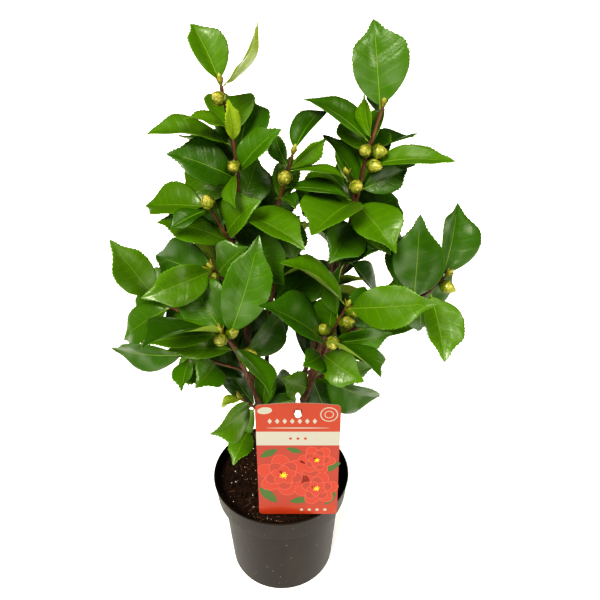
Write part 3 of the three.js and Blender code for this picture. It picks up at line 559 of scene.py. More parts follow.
def meets_stem(leaf, beads):
    """Whether a leaf comes too close to a limb, a shoot or a bud beyond its own foot."""
    places, radii = beads
    near = np.linalg.norm(places - leaf.centre, axis=1) <= leaf.length / 2 + radii + LIMB_GAP
    near &= np.linalg.norm(places - leaf.base, axis=1) >= OWN_STEM * leaf.length
    heights = leaf.heights(places[near], radii[near])
    return bool((abs(heights) < radii[near] + LIMB_GAP).any())


def off_limits(points):
    """Whether a point is inside the pot, the compost or the label's space."""
    x, y, z = points.T
    card_y = CARD_FOOT_Y + (z - CARD_FOOT_Z) * math.tan(math.radians(CARD_LEAN))
    over_card = abs(x - CARD_MIDDLE_X) <= CARD_WIDTH / 2 + POT_SPACE
    over_stake = abs(x - CARD_MIDDLE_X) <= STAKE_WIDTH + POT_SPACE
    top = CARD_FOOT_Z + CARD_HEIGHT + POT_SPACE + np.where(over_stake, STAKE_HEAD_RISE, 0)
    in_label = over_card & (z < top) & (abs(y - card_y) < CARD_SPACE)
    in_pot = z <= POT_HEIGHT + POT_SPACE
    in_pot &= (np.hypot(x, y) > COLLAR_FOOT_RADIUS - POT_SPACE) | (z < SOIL_LEVEL + POT_SPACE)
    return bool((in_label | in_pot).any())


def has_room(leaf, leaves, beads):
    """Whether a leaf stays clear of the pot, the label, the stems and the leaves so far."""
    if off_limits(leaf.tests) or meets_stem(leaf, beads):
        return False
    return not any(meets_leaf(leaf, other) for other in leaves)


def grow_leads(row, index, shoot, leaves, beads):
    """Adds a shoot's leading leaves, each where its row puts it if there is room."""
    roll_dice = dice(LEAD_SEED + LEAD_SEED_STEP * index)
    for at, bearing, rise, length, roll, *width in row.get("leads", ()):
        breadth = BLADE_WIDTH * (width[0] if width else 1)
        broad = breadth * mix(*LEAD_BREADTHS, next(roll_dice))
        droop, fold = mix(*DROOPS, next(roll_dice)), mix(*FOLDS, next(roll_dice))
        leaf = Leaf(row, shoot.point(at), heading(bearing, rise), length, roll, broad, droop, fold)
        if has_room(leaf, leaves, beads):
            leaves.append(leaf)


def try_leaves(row, shoot, at, spin, lean, form, leaves, beads):
    """The first leaf with room: turned aside more and more, then the same again but shorter."""
    length, broad, droop, fold, roll = form
    along = shoot.along(at)
    for scale in TRY_LENGTHS:
        for turn in TRY_TURNS:
            out = rotated(shoot.across(at), along, spin + turn)
            way = along * math.cos(math.radians(lean)) + out * math.sin(math.radians(lean))
            leaf = Leaf(row, shoot.point(at), way, length * scale, roll, broad, droop, fold)
            if has_room(leaf, leaves, beads):
                return leaf
    return None


def grow_spiral(row, index, shoot, leaves, beads):
    """Adds the leaves that wind up a shoot, each where one of the tries finds room."""
    roll_dice = dice(SPIRAL_SEED + SPIRAL_SEED_STEP * index)
    count = row.get("leaves", 0)
    for i in range(count):
        at = mix(BARE_FOOT, 1, ((i + 1) / count) ** CROWDING)
        spin = row["turn"] + GOLDEN_TURN * i + mix(-TURN_STRAY, TURN_STRAY, next(roll_dice))
        lean = mix(LEAN_AT_FOOT, LEAN_AT_TIP, at) + mix(-LEAN_STRAY, LEAN_STRAY, next(roll_dice))
        form = (
            row["size"] * mix(*SPIRAL_LENGTHS, next(roll_dice)),
            BLADE_WIDTH * mix(*SPIRAL_BREADTHS, next(roll_dice)),
            mix(*DROOPS, next(roll_dice)),
            mix(*FOLDS, next(roll_dice)),
            mix(-ROLL_STRAY, ROLL_STRAY, next(roll_dice)),
        )
        leaf = try_leaves(row, shoot, at, spin, lean, form, leaves, beads)
        if leaf:
            leaves.append(leaf)


def grow_leaves(stems):
    """The leading leaves of every shoot, then the leaves of the spirals."""
    beads, leaves = beads_of(stems), []
    for index, row in enumerate(SHOOTS):
        grow_leads(row, index, stems[row["name"]], leaves, beads)
    for index, row in enumerate(SHOOTS):
        grow_spiral(row, index, stems[row["name"]], leaves, beads)
    return leaves


# Making: materials and meshes


def colour(hex_value):
    """An sRGB hex colour as linear red, green, blue and alpha."""
    channels = [int(hex_value[i : i + 2], 16) / 255 for i in (1, 3, 5)]
    linear = [c / 12.92 if c <= 0.04045 else ((c + 0.055) / 1.055) ** 2.4 for c in channels]
    return (*linear, 1.0)


def add_node(tree, kind, feeds=None, **settings):
    """Adds a shader node: settings are its own, feeds are values or outputs for its sockets."""
    made = tree.nodes.new("ShaderNode" + kind)
    for name, value in settings.items():
        setattr(made, name, value)
    for name, feed in (feeds or {}).items():
        if isinstance(feed, bpy.types.NodeSocket):
            tree.links.new(feed, made.inputs[name])
        else:
            made.inputs[name].default_value = feed
    return made


def new_material(name, base, **sockets):
    """A material with its base colour and its surface's plain values; returns it with its nodes."""
    material = bpy.data.materials.new(name)
    material.use_nodes = True
    tree = material.node_tree
    shader = tree.nodes["Principled BSDF"]
    shader.inputs["Base Color"].default_value = base
    for socket, value in sockets.items():
        shader.inputs[socket.replace("_", " ")].default_value = value
    return material, tree, shader


def mottle(tree, shader, scale, dark, light, stretch=(1, 1, 1), span=(0.35, 0.65), relief=None):
    """Mixes two colours by noise over the object; relief is its bumps' strength and depth in m."""
    place = add_node(tree, "TexCoord").outputs["Object"]
    place = add_node(tree, "Mapping", {"Vector": place, "Scale": stretch}).outputs["Vector"]
    feeds = {"Vector": place, "Scale": scale, "Detail": 5, "Roughness": 0.6}
    pattern = add_node(tree, "TexNoise", feeds).outputs["Fac"]
    ramp = add_node(tree, "ValToRGB", {"Fac": pattern})
    for stop, position, shade in zip(ramp.color_ramp.elements, span, (dark, light)):
        stop.position, stop.color = position, shade
    tree.links.new(ramp.outputs["Color"], shader.inputs["Base Color"])
    if relief:
        feeds = {"Height": pattern, "Strength": relief[0], "Distance": relief[1]}
        tree.links.new(add_node(tree, "Bump", feeds).outputs["Normal"], shader.inputs["Normal"])


def new_object(name, data):
    """An object in the scene that holds data."""
    made = bpy.data.objects.new(name, data)
    bpy.context.scene.collection.objects.link(made)
    return made


def new_mesh(bm, name, materials):
    """A mesh made from a bmesh, which it uses up."""
    mesh = bpy.data.meshes.new(name)
    bm.to_mesh(mesh)
    bm.free()
    for material in materials:
        mesh.materials.append(material)
    return mesh


def finish_piece(bm, name, materials, nodes=(), smooth=True, sharp=None):
    """Turns a bmesh in millimetres into a finished piece of the part, at the origin."""
    bmesh.ops.scale(bm, vec=(MM, MM, MM), verts=bm.verts)
    mesh = new_mesh(bm, name, materials)
    if smooth:
        mesh.shade_smooth()
    if sharp is not None:
        mesh.set_sharp_from_angle(angle=math.radians(sharp))
    piece = new_object(name, mesh)
    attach(piece, BODY)
    if nodes:
        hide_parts(*nodes)


class Template:
    """A sphere whose rings become stations along a slender or thin closed shape."""

    def __init__(self, around, rings):
        bm = bmesh.new()
        bmesh.ops.create_uvsphere(bm, u_segments=around, v_segments=rings, radius=1)
        places = np.array([vert.co[:] for vert in bm.verts])
        self.faces = [[vert.index for vert in face.verts] for face in bm.faces]
        self.mesh = new_mesh(bm, "template", ())
        self.rings = rings
        self.station = np.arccos(np.clip(-places[:, 2], -1, 1)) / math.pi
        self.ring = np.rint(self.station * rings).astype(int)
        self.at_pole = (self.ring == 0) | (self.ring == rings)
        angle = np.arctan2(places[:, 1], places[:, 0])
        self.cosine = np.where(self.at_pole, 0, np.cos(angle))
        self.sine = np.where(self.at_pole, 0, np.round(np.sin(angle), 6))

    def across(self, power):
        """Each vertex's share of the half width, drawn outwards by a power under 1."""
        return np.sign(self.cosine) * abs(self.cosine) ** power

    def add(self, bm, places, materials=None):
        """Adds a copy whose vertices lie at places; materials gives each face's material index."""
        old_verts, old_faces = len(bm.verts), len(bm.faces)
        bm.from_mesh(self.mesh)
        bm.verts.ensure_lookup_table()
        for vert, place in zip(bm.verts[old_verts:], places):
            vert.co = place
        if materials is not None:
            bm.faces.ensure_lookup_table()
            for face, material in zip(bm.faces[old_faces:], materials):
                face.material_index = int(material)

    def face_mean(self, values):
        """The mean of a value over each face's corners."""
        return np.array([np.mean([values[i] for i in corners]) for corners in self.faces])


def tube_places(template, stem, extra):
    """A template's places on a stem; extra(t, place) swells its radius, in millimetres."""
    places = np.zeros((len(template.station), 3))
    frames = {}
    for i, ring in enumerate(template.ring):
        t = ring / template.rings
        if ring not in frames:
            along, across = stem.along(t), stem.across(t)
            frames[ring] = (stem.point(t), across, np.cross(along, across), stem.radius(t))
        middle, across, other, radius = frames[ring]
        out = template.cosine[i] * across + template.sine[i] * other
        places[i] = middle
        if not template.at_pole[i]:
            places[i] += out * (radius + extra(t, middle + out * radius))
    return places


def drawn_out(place, flat, upright, start):
    """Where to read a noise that is drawn out upwards, in the noise's own units."""
    return Vector((place[0] * flat, place[1] * flat, place[2] * upright + start))


def node_copy(name):
    """A packed node's shape as a merged bmesh in millimetres."""
    bm = bmesh.new()
    bm.from_mesh(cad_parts[name].data)
    bmesh.ops.remove_doubles(bm, verts=bm.verts, dist=1e-6)
    bmesh.ops.scale(bm, vec=(1 / MM,) * 3, verts=bm.verts)
    return bm


def pot_inner_radius(z):
    """The radius of the pot's inner wall at a height."""
    if z <= POT_BODY_TOP:
        share = (z - POT_FLOOR) / (POT_BODY_TOP - POT_FLOOR)
        return mix(POT_FOOT_RADIUS, POT_BODY_RADIUS, share) - POT_WALL
    share = (z - COLLAR_FOOT) / (POT_HEIGHT - COLLAR_FOOT)
    return mix(COLLAR_FOOT_RADIUS, COLLAR_TOP_RADIUS, share) - POT_WALL


def spun(profile, steps):
    """A profile of radius and height turned round the upright axis."""
    bm = bmesh.new()
    verts = [bm.verts.new((r, 0, z)) for r, z in profile]
    edges = [bm.edges.new(pair) for pair in zip(verts, verts[1:])]
    bmesh.ops.spin(
        bm, geom=verts + edges, cent=(0, 0, 0), axis=(0, 0, 1), angle=2 * math.pi,
        steps=steps, use_merge=True, use_duplicate=False,
    )
    return bm


# Settings


def length_setting(name, what, default):
    return bpy.props.FloatProperty(
        name=name, description=what + ", in mm", default=default, min=0, max=500
    )


def colour_setting(name, what, hex_value):
    return bpy.props.FloatVectorProperty(
        name=name, description="Colour of " + what, subtype="COLOR", size=4, min=0, max=1,
        default=colour(hex_value),
    )


def light_setting(name, description, default):
    return bpy.props.FloatProperty(
        name=name, description=description, default=default, min=0, max=20
    )


class SHRUB_PG_pot(bpy.types.PropertyGroup):
    """The nursery pot and its compost."""

    edge: length_setting("Edge radius", "Rounding of the lip and the collar", 0.5)
    foot: length_setting("Foot radius", "Rounding of the pot's foot", 5)
    plastic: colour_setting("Plastic", "the pot", "#18120A")
    scuffed: colour_setting("Scuffed plastic", "worn patches", "#241D12")
    dust: colour_setting("Dust", "dry specks on the wall", "#8A8170")
    clods: length_setting("Clod height", "Height of the compost's bumps", 2.2)
    compost: colour_setting("Compost", "moist compost", "#170D08")
    compost_dry: colour_setting("Dry compost", "drier crumbs", "#382215")
    perlite: colour_setting("Perlite", "the white specks", "#D9D2C8")
    fibre: colour_setting("Fibre", "the plant fibres", "#7A5A3E")


class SHRUB_PG_bark(bpy.types.PropertyGroup):
    """Trunk, boughs and twigs."""

    relief: length_setting("Relief", "Depth of the bark's ridges", 0.35)
    bark_dark: colour_setting("Dark bark", "the bark's grooves", "#2E1A10")
    bark_light: colour_setting("Light bark", "the bark's ridges", "#6B4A34")
    twig_dark: colour_setting("Dark twig", "a young shoot's shaded bark", "#38200F")
    twig_light: colour_setting("Light twig", "a young shoot's bark", "#684528")


class SHRUB_PG_leaf(bpy.types.PropertyGroup):
    """Leaves and buds."""

    thickness: length_setting("Thickness", "Thickness of a blade", 0.5)
    tooth: length_setting("Tooth", "Depth of the teeth along a blade's edge", 1.5)
    wave: length_setting("Wave", "Height of the waves along a blade's edge", 1.7)
    vein: length_setting("Vein groove", "Depth of a side vein's groove", 0.22)
    midrib: colour_setting("Midrib", "the midrib and the stalk", "#6A8424")
    under: colour_setting("Underside", "a blade's underside", "#788C36")
    bud: colour_setting("Bud", "a bud's outer scales", "#485C04")
    bud_light: colour_setting("Light bud", "a bud's inner scales", "#69760C")
    # Cream of a bud's tip: its own silk, partly a painted highlight
    bud_tip_and_highlight: colour_setting("Bud tip", "a bud's silky tip", "#ABA650")
    bud_edge: colour_setting("Bud edge", "a scale's dry edge", "#5A4A14")
    bract: colour_setting("Bract", "the papery bracts", "#86702A")


class SHRUB_PG_label(bpy.types.PropertyGroup):
    """The picture label and its stake."""

    band: colour_setting("Band", "the top and bottom bands", "#8E3318")
    strip: colour_setting("Strip", "the pale strip and ornaments", "#949288")
    field: colour_setting("Field", "the picture's ground", "#883222")
    petal: colour_setting("Petal", "the blossoms", "#963420")
    petal_light: colour_setting("Light petal", "the petals' edges", "#AC523C")
    centre: colour_setting("Centre", "the blossoms' middles", "#C8A018")
    foliage: colour_setting("Foliage", "the drawn leaves", "#3A5620")
    stake: colour_setting("Stake", "the stake's plastic", "#F0EFEA")


class SHRUB_PG_stage(bpy.types.PropertyGroup):
    """Floor, lights and camera."""

    floor: colour_setting("Floor", "the floor", "#FFFFFF")
    light: colour_setting("Light", "the lamps and the surroundings", "#FFF9EE")
    glow: light_setting("Floor glow", "Light that the floor gives off, as a light table does", 0.25)
    key: light_setting("Key light", "Strength of the soft light from the left", 3.75)
    fill: light_setting("Fill light", "Strength of the soft light from the right", 1.7)
    top: light_setting("Top light", "Strength of the soft light from above", 0.6)
    front: light_setting("Front", "Brightness of the surroundings in front", 0.15)
    back: light_setting("Back", "Brightness of the surroundings behind", 0.1)
    ceiling: light_setting("Ceiling", "Share of that brightness which is left overhead", 0.1)


# Forms of leaves and buds

# The blade's colour and its side veins' colour, from bright leaves to dark ones, then young ones;
# bright to dark is painted light and shade
LEAF_TINTS = {
    "bright": ("#507400", "#5B8008"),
    "fresh": ("#466900", "#4E7406"),
    "mid": ("#3B6000", "#426905"),
    "deep": ("#2F5201", "#355A04"),
    "dark": ("#224202", "#284B04"),
    "young": ("#7E951A", "#8CA12A"),
}
YOUNG_BREADTH = 17  # mm, under which a leaf is still young
PALE_LEAVES = (1,)  # the narrow leaf at the left top
# Heights for the painted light and shade in the leaves' tints
SHADE_LEVEL, SHADE_RISE = 330, 400  # mm
BLADE_AROUND, BLADE_RINGS = 20, 80
EDGE_POWER = 0.75
RECURVE_START = 0.72
TIP_START, TIP_RUN = 0.7, 0.2
TOOTH_STEP = 3.0  # mm
VEIN_STEP = 10  # rings of the blade
VEIN_SLANT = 0.36
VEIN_WIDTH = 1.3  # rings
RIB_GROOVE, RIB_GROOVE_WIDTH = 0.45, 0.13
SCALE_POWER = 0.6
SCALE_THICKNESS = 0.28
BRACT_THICKNESS = 0.44


def ease(x):
    """From 0 to 1 with a soft start and end."""
    return x**2 * (3 - 2 * x)


def ramp_up(x):
    """x kept from 0 to 1."""
    return np.clip(x, 0, 1)


def roll_form(rolls):
    """How one leaf strays from the rule's even blade."""
    spread = [2 * next(rolls) - 1 for _ in range(6)]
    return dict(
        sickle=0.045 * spread[0],
        twist=0.202 * spread[1],
        recurve=0.25 + 0.5 * spread[2],
        uneven=0.09 * spread[3],
        wave=0.7 + 0.5 * spread[4],
        phase=spread[5],
    )


def on_leaf(leaf, form, s, across, lift):
    """Places on a leaf whose midrib dips at its end and drifts aside; across is in millimetres."""
    lift = lift - form["recurve"] * leaf.length * ramp_up(s - RECURVE_START) ** 2
    drift = form["sickle"] * leaf.length * ramp_up(s - STALK) ** 2
    out = across / np.maximum(half_width(leaf, s), 0.01)
    return leaf.points(s, out, lift) + np.outer(drift, leaf.side)


def blade_places(template, leaf, settings, form):
    """The vertices of a leaf's blade: folded, bulged between its side veins and finely toothed."""
    station, side = template.station, np.sign(template.sine)
    across = template.across(EDGE_POWER)
    inner, to_tip = 1 - abs(across), 1 - station
    slant = VEIN_SLANT * abs(across) ** 1.1 * ease(ramp_up(2 * station))
    s = STALK + (1 - STALK) * ramp_up(station + slant * to_tip)
    # The last stretch draws in to the leaf's long point
    width = half_width(leaf, s) * (1 - 0.5 * ease(ramp_up((s - TIP_START) / TIP_RUN)))
    width = np.maximum(width * (1 + form["uneven"] * np.sign(across)), 0.15)
    along_edge = ramp_up(8 * to_tip) * ramp_up(8 * station)
    # Teeth point forwards, and there are none near the foot
    saw = (s * leaf.length / TOOTH_STEP) % 1 * ramp_up(3 * s - 0.8)
    tooth = np.where(side == 0, settings.tooth * saw, 0) * along_edge
    wave = np.sin(2 * math.pi * (form["phase"] + s * (1.5 + 0.3 * np.sign(across))))
    lift = form["wave"] * settings.wave * wave * abs(across) ** 2.5 * along_edge
    lift = lift + width * across * form["twist"] * (s - 0.35)
    # Each half climbs from the midrib, a little crowned, and eases down at its edge
    lift = lift + width * (0.2 * abs(across) + 0.1 * abs(across) * inner - 0.05 * across**4)
    offset = np.where(across < 0, VEIN_STEP // 2, 0)
    phase = (template.ring + offset) % VEIN_STEP
    near = np.minimum(phase, VEIN_STEP - phase)
    in_blade = ramp_up(3 * inner) * ramp_up(5 * to_tip) * ramp_up(5 * abs(across))
    lift = lift + settings.vein * (0.5 - np.exp(-((near / VEIN_WIDTH) ** 2))) * in_blade
    groove = RIB_GROOVE * np.exp(-((across / RIB_GROOVE_WIDTH) ** 2))
    thick = settings.thickness * (1 - abs(across) ** 4 * 0.6)
    lift = lift - groove * ramp_up(4 * to_tip) + side * thick / 2
    return on_leaf(leaf, form, s, across * (width + tooth), lift)


def midrib_places(template, leaf, form):
    """The vertices of a leaf's stalk and midrib, which tapers to the blade's tip."""
    s = 0.95 * template.station
    radius = mix(1.15, 0.6, ramp_up(s / STALK)) * mix(1, 0.3, s / 0.95)
    radius = radius + 0.6 * np.exp(-((s / 0.05) ** 2))
    lift = template.sine * radius * 0.8 - 0.2 * ramp_up((s - STALK) / 0.1)
    return on_leaf(leaf, form, s, template.cosine * radius, lift)


def leaf_tint(leaf, index):
    """Young leaves are pale; the rest carry painted light and shade: bright high up, dark low or
    behind.
    """
    if leaf.length * leaf.broad < YOUNG_BREADTH or index in PALE_LEAVES:
        return "young"
    # Painted light and shade: height lightens a leaf's tint, depth behind darkens it, and a random
    # term varies it
    height = (leaf.centre[2] - SHADE_LEVEL) / SHADE_RISE
    behind = leaf.centre[1] / 150
    shade = 1.1 * height - 0.5 * behind + 0.9 * math.sin(index * 2.4 + leaf.centre[0] * 0.05)
    return list(LEAF_TINTS)[int(np.clip(round(2.3 - 1.2 * shade), 0, 4))]


def bud_frame(bearing, rise):
    """The way that a bud points, and two directions square to it."""
    way = heading(bearing, rise)
    across = square_to(np.array([0.13, 0.31, 0.94]), way)
    return way, across, np.cross(way, across)


def bud_form(up):
    """A bud's girth at fractions of its length: an egg that narrows to its tip."""
    return np.sin(math.pi * np.clip(up, 0.02, 0.98)) ** 0.8 * (1.04 - 0.3 * ramp_up(up) ** 2)


def core_places(template, root, directions, length, radius):
    """The egg that a bud's scales close round."""
    way, across, other = directions
    form = radius * bud_form(template.station)
    around = np.outer(template.cosine, across) + np.outer(template.sine, other)
    return root + np.outer(template.station * length, way) + around * form[:, None]


def scale_places(template, root, directions, size, turn, tier, rise):
    """One broad scale that hugs a bud from foot to top of its length."""
    (way, across, other), (length, radius), (foot, top, spread) = directions, size, tier
    station = template.station
    up = foot + (top - foot) * station
    width = spread * np.minimum(1, 1.25 * (1 - station) ** 0.55) * np.minimum(1, 0.4 + 3 * station)
    angle = turn + template.across(SCALE_POWER) * width
    out = radius * bud_form(up) + rise * (0.5 + station)
    out = out + np.sign(template.sine) * SCALE_THICKNESS / 2
    around = np.outer(np.cos(angle), across) + np.outer(np.sin(angle), other)
    return root + np.outer(length * up, way) + around * out[:, None]


def bract_places(template, root, way, out, length, width):
    """A narrow pointed scale that stands off a shoot's tip and bends outwards."""
    station, beside = template.station, np.cross(way, out)
    form = width * np.sin(math.pi * ramp_up(station * 0.9 + 0.1)) ** 0.8
    middle = np.outer(length * (station - 0.15 * station**2), way)
    middle = middle + np.outer(length * (0.12 * station + 0.32 * station**2) + 1.2, out)
    cup = 0.35 * form * template.cosine**2 - np.sign(template.sine) * BRACT_THICKNESS / 2
    return root + middle + np.outer(template.cosine * form, beside) - np.outer(cup, out)


# Pieces, with sizes in millimetres

# Pot and compost
POT_STEPS, COMPOST_STEPS, COMPOST_ROWS = 144, 220, 70
LIP_ROUND = 0.8
COMPOST_GAP = 0.3
SOIL_DROP = 1.2
TRUNK_X, STAKE_Y = 2, -71
SCATTER_SEED = 777
CRUMBS, CRUMB_SIZES = 620, (0.8, 2.6)
PERLITE_SPECKS, PERLITE_SIZES = 150, (0.35, 1.15)
CRUMB_REACH, CRUMB_TRUNK_ROOM = 78, 14
FIBRES, FIBRE_LENGTHS, FIBRE_RADIUS = 70, (6, 15), 0.28
FIBRE_REACH, FIBRE_LIMIT, FIBRE_TRUNK_ROOM = 70, 77, 20

# Bark: the space between old leaf scars, and how far a twig swells round a leaf's foot
SCAR_STEP = 31
JOINT_SWELL, JOINT_SPREAD = 0.7, 3.2

# Leaves and buds. A bud has three rounds of three scales, each from its foot to its top over half
# a spread in radians, from the inner round out. A shoot's tip is a thin bud with bracts round it
FORM_SEED, BUD_SEED = 4242, 99
BUD_GIRTHS, BUD_STRETCHES = (0.86, 1.04), (1.05, 1.4)
SCALE_TIERS = ((0.3, 0.99, 1.02), (0.12, 0.86, 1.15), (0.02, 0.55, 1.1))
TIP_LENGTH, TIP_RADIUS, TIP_ROOT = 12, 2.2, 1.5
BRACTS, BRACT_LENGTHS, BRACT_WIDTH = 4, (7, 13), 1.5


class SHRUB_OT_pot(bpy.types.Operator):
    """Builds the round nursery pot: wall, collar, rolled lip and drained floor"""

    bl_idname = "shrub.pot"
    bl_label = "Nursery pot"

    def execute(self, context):
        settings = context.scene.shrub_pot
        bm = spun(self.profile(settings.foot), POT_STEPS)
        self.drain(bm)
        bmesh.ops.recalc_face_normals(bm, faces=bm.faces)
        creases = [
            e for e in bm.edges
            if len(e.link_faces) == 2 and e.calc_face_angle(0) > 0.3
            and abs(e.verts[0].co.z - e.verts[1].co.z) < 0.01 and e.verts[0].co.xy.length > 60
        ]
        bmesh.ops.bevel(
            bm, geom=creases, offset=settings.edge, segments=3, profile=0.5,
            affect="EDGES", material=-1,
        )
        finish_piece(bm, "pot_shell", [self.plastic(settings)], ["pot"], sharp=50)
        return {"FINISHED"}

    def profile(self, turn):
        """The wall's outline: the foot's rounding, up the outside, over the lip and down inside."""
        foot = [
            (POT_FOOT_RADIUS - turn * (1 - math.sin(angle)), turn * (1 - math.cos(angle)))
            for angle in (math.radians(15 * i) for i in range(7))
        ]
        inside = (POT_HEIGHT - 1, COLLAR_FOOT, POT_BODY_TOP, POT_FLOOR)
        return [
            *foot,
            (POT_BODY_RADIUS, POT_BODY_TOP),
            (COLLAR_FOOT_RADIUS, COLLAR_FOOT),
            (COLLAR_TOP_RADIUS, POT_HEIGHT - LIP_DEPTH),
            (LIP_RADIUS, POT_HEIGHT - LIP_DEPTH + 1),
            (LIP_RADIUS, POT_HEIGHT - LIP_ROUND),
            (LIP_RADIUS - LIP_ROUND, POT_HEIGHT),
            (pot_inner_radius(POT_HEIGHT) + 0.4, POT_HEIGHT),
            *((pot_inner_radius(z), z) for z in inside),
        ]

    def drain(self, bm):
        """Fills both faces of the floor round the drain holes, and gives the holes their walls."""
        holes = {0: [], POT_FLOOR: []}
        for height, loops in holes.items():
            for i in range(DRAIN_HOLES):
                angle = 2 * math.pi * (i + 0.5) / DRAIN_HOLES
                x, y = (DRAIN_CIRCLE_RADIUS * f(angle) for f in (math.cos, math.sin))
                ring = bmesh.ops.create_circle(
                    bm, segments=24, radius=DRAIN_HOLE_RADIUS,
                    matrix=Matrix.Translation((x, y, height)),
                )
                loops.append({edge for vert in ring["verts"] for edge in vert.link_edges})
            rims = [e for e in bm.edges if e.is_boundary and abs(e.verts[0].co.z - height) < 0.01]
            rings = [edge for loop in loops for edge in loop]
            bmesh.ops.triangle_fill(bm, use_beauty=True, edges=rims + rings)
        for low, high in zip(*holes.values()):
            bmesh.ops.bridge_loops(bm, edges=list(low | high))

    def plastic(self, settings):
        # Moulded polypropylene: a satin skin with faint flow marks and pale scuffs
        plastic, tree, shader = new_material(
            "moulded polypropylene", settings.plastic, Roughness=0.48, Specular_IOR_Level=0.23
        )
        mottle(
            tree, shader, 38, settings.plastic, settings.scuffed, (1, 1, 0.35), (0.5, 0.82),
            relief=(0.25, 0.0004),
        )
        # Specks of dry compost splashed on the wall, 1 mm across
        place = add_node(tree, "TexCoord").outputs["Object"]
        spots = add_node(tree, "TexVoronoi", {"Vector": place, "Scale": 110}).outputs["Distance"]
        near = add_node(tree, "MapRange", {"Value": spots, "From Min": 0.07, "From Max": 0.05})
        skin = shader.inputs["Base Color"].links[0].from_socket
        feeds = {"Fac": near.outputs["Result"], "Color1": skin, "Color2": settings.dust}
        dusty = add_node(tree, "MixRGB", feeds).outputs["Color"]
        tree.links.new(dusty, shader.inputs["Base Color"])
        return plastic


def clod_height(x, y, height):
    """The compost's surface over its mean level: clods, crumbs and a mound at the trunk."""
    place = Vector((x, y, 0))
    coarse = noise.noise(place * 0.07) * 0.8 + noise.noise(place * 0.19) * 0.7
    fine = noise.noise(place * 0.55) * 0.45 + noise.noise(place * 1.3) * 0.25
    mound = 2.2 * math.exp(-((x * x + y * y) / 900))
    return height * (coarse + fine) * 0.5 + mound - 0.8


def random_spot(rolls, reach):
    """A spot on the compost, with the same chance everywhere up to reach from the middle."""
    out, angle = math.sqrt(next(rolls)) * reach, 2 * math.pi * next(rolls)
    return out * math.cos(angle), out * math.sin(angle)


class SHRUB_OT_compost(bpy.types.Operator):
    """Fills the pot with bumpy compost, with crumbs, white perlite and plant fibres on it"""

    bl_idname = "shrub.compost"
    bl_label = "Compost"

    def surface(self, x, y):
        return self.level + clod_height(x, y, self.clods)

    def execute(self, context):
        settings = context.scene.shrub_pot
        self.level, self.clods = SOIL_LEVEL - SOIL_DROP, settings.clods
        bm = spun(self.profile(), COMPOST_STEPS)
        bmesh.ops.remove_doubles(bm, verts=bm.verts, dist=1e-4)
        bmesh.ops.recalc_face_normals(bm, faces=bm.faces)
        for vert in bm.verts:
            if vert.co.z > COLLAR_FOOT + 1:
                vert.co.z = self.surface(vert.co.x, vert.co.y)
        # Peat compost: moist, so it is nearly black, and crumbs break up any shine
        peat, tree, shader = new_material(
            "moist peat compost", settings.compost, Roughness=0.9, IOR=1.35
        )
        mottle(tree, shader, 420, settings.compost, settings.compost_dry, relief=(0.9, 0.0016))
        # Expanded perlite: puffed white grains with a chalky, dull face
        perlite, _, _ = new_material("expanded perlite", settings.perlite, Roughness=0.85, IOR=1.45)
        # Dry fibre: straw-brown threads without shine
        fibre, _, _ = new_material("dry plant fibre", settings.fibre, Roughness=0.8)
        finish_piece(bm, "compost_bed", [peat], ["potting_soil"])
        # The vector noise that shapes the crumbs is another one in each run unless it is seeded
        noise.seed_set(SCATTER_SEED)
        rolls = dice(SCATTER_SEED)
        self.crumbs("compost_crumbs", peat, CRUMBS, CRUMB_SIZES, rolls)
        self.crumbs("perlite_specks", perlite, PERLITE_SPECKS, PERLITE_SIZES, rolls)
        self.fibres(fibre, rolls)
        return {"FINISHED"}

    def profile(self):
        """The filling's outline: along the floor, up the wall, and over the top to the middle."""
        edge = pot_inner_radius(SOIL_EDGE_LEVEL) - COMPOST_GAP
        bottom, floor = pot_inner_radius(POT_FLOOR) - COMPOST_GAP, POT_FLOOR + COMPOST_GAP
        heights = (POT_BODY_TOP, COLLAR_FOOT + COMPOST_GAP)
        wall = [(pot_inner_radius(z) - COMPOST_GAP, z) for z in heights]
        shares = [1 - i / COMPOST_ROWS for i in range(COMPOST_ROWS + 1)]
        return [(0, floor), (bottom, floor), *wall, *((edge * s, SOIL_LEVEL - 2) for s in shares)]

    def crumbs(self, name, material, count, sizes, rolls):
        """Loose lumps, all in one piece, away from the trunk and the stake."""
        bm = bmesh.new()
        for _ in range(count):
            x, y = random_spot(rolls, CRUMB_REACH)
            at_stake = abs(x - CARD_MIDDLE_X) < STAKE_WIDTH and abs(y - STAKE_Y) < 4
            if math.hypot(x - TRUNK_X, y) < CRUMB_TRUNK_ROOM or at_stake:
                continue
            size = mix(*sizes, next(rolls) ** 2)
            place = Matrix.Translation((x, y, self.surface(x, y) + size * 0.25))
            made = bmesh.ops.create_icosphere(bm, subdivisions=1, radius=size, matrix=place)
            for vert in made["verts"]:
                vert.co += noise.noise_vector(vert.co * (0.9 / size)) * size * 0.45
        finish_piece(bm, name, [material], smooth=False)

    def fibres(self, material, rolls):
        """Curled threads that lie on the compost."""
        bm = bmesh.new()
        strand = Template(5, 9)
        for _ in range(FIBRES):
            x, y = random_spot(rolls, FIBRE_REACH)
            at_label = abs(x - CARD_MIDDLE_X) < 14 and y < -55
            if math.hypot(x - TRUNK_X, y) < FIBRE_TRUNK_ROOM or at_label:
                continue
            bearing, length = 360 * next(rolls), mix(*FIBRE_LENGTHS, next(rolls))
            curl = mix(-4, 4, next(rolls))
            way = heading(bearing, 0)
            side = np.array([-way[1], way[0], 0])
            run = strand.station - 0.5
            middle = np.outer(run * length, way) + np.outer(curl * (run**2 - 0.08), side)
            middle += np.array([x, y, 0])
            if np.hypot(middle[:, 0], middle[:, 1]).max() > FIBRE_LIMIT:
                continue
            middle[:, 2] = [self.surface(*place[:2]) + 0.5 for place in middle]
            places = middle + np.outer(strand.cosine * FIBRE_RADIUS, side)
            places[:, 2] += strand.sine * FIBRE_RADIUS
            strand.add(bm, places)
        finish_piece(bm, "compost_fibres", [material])


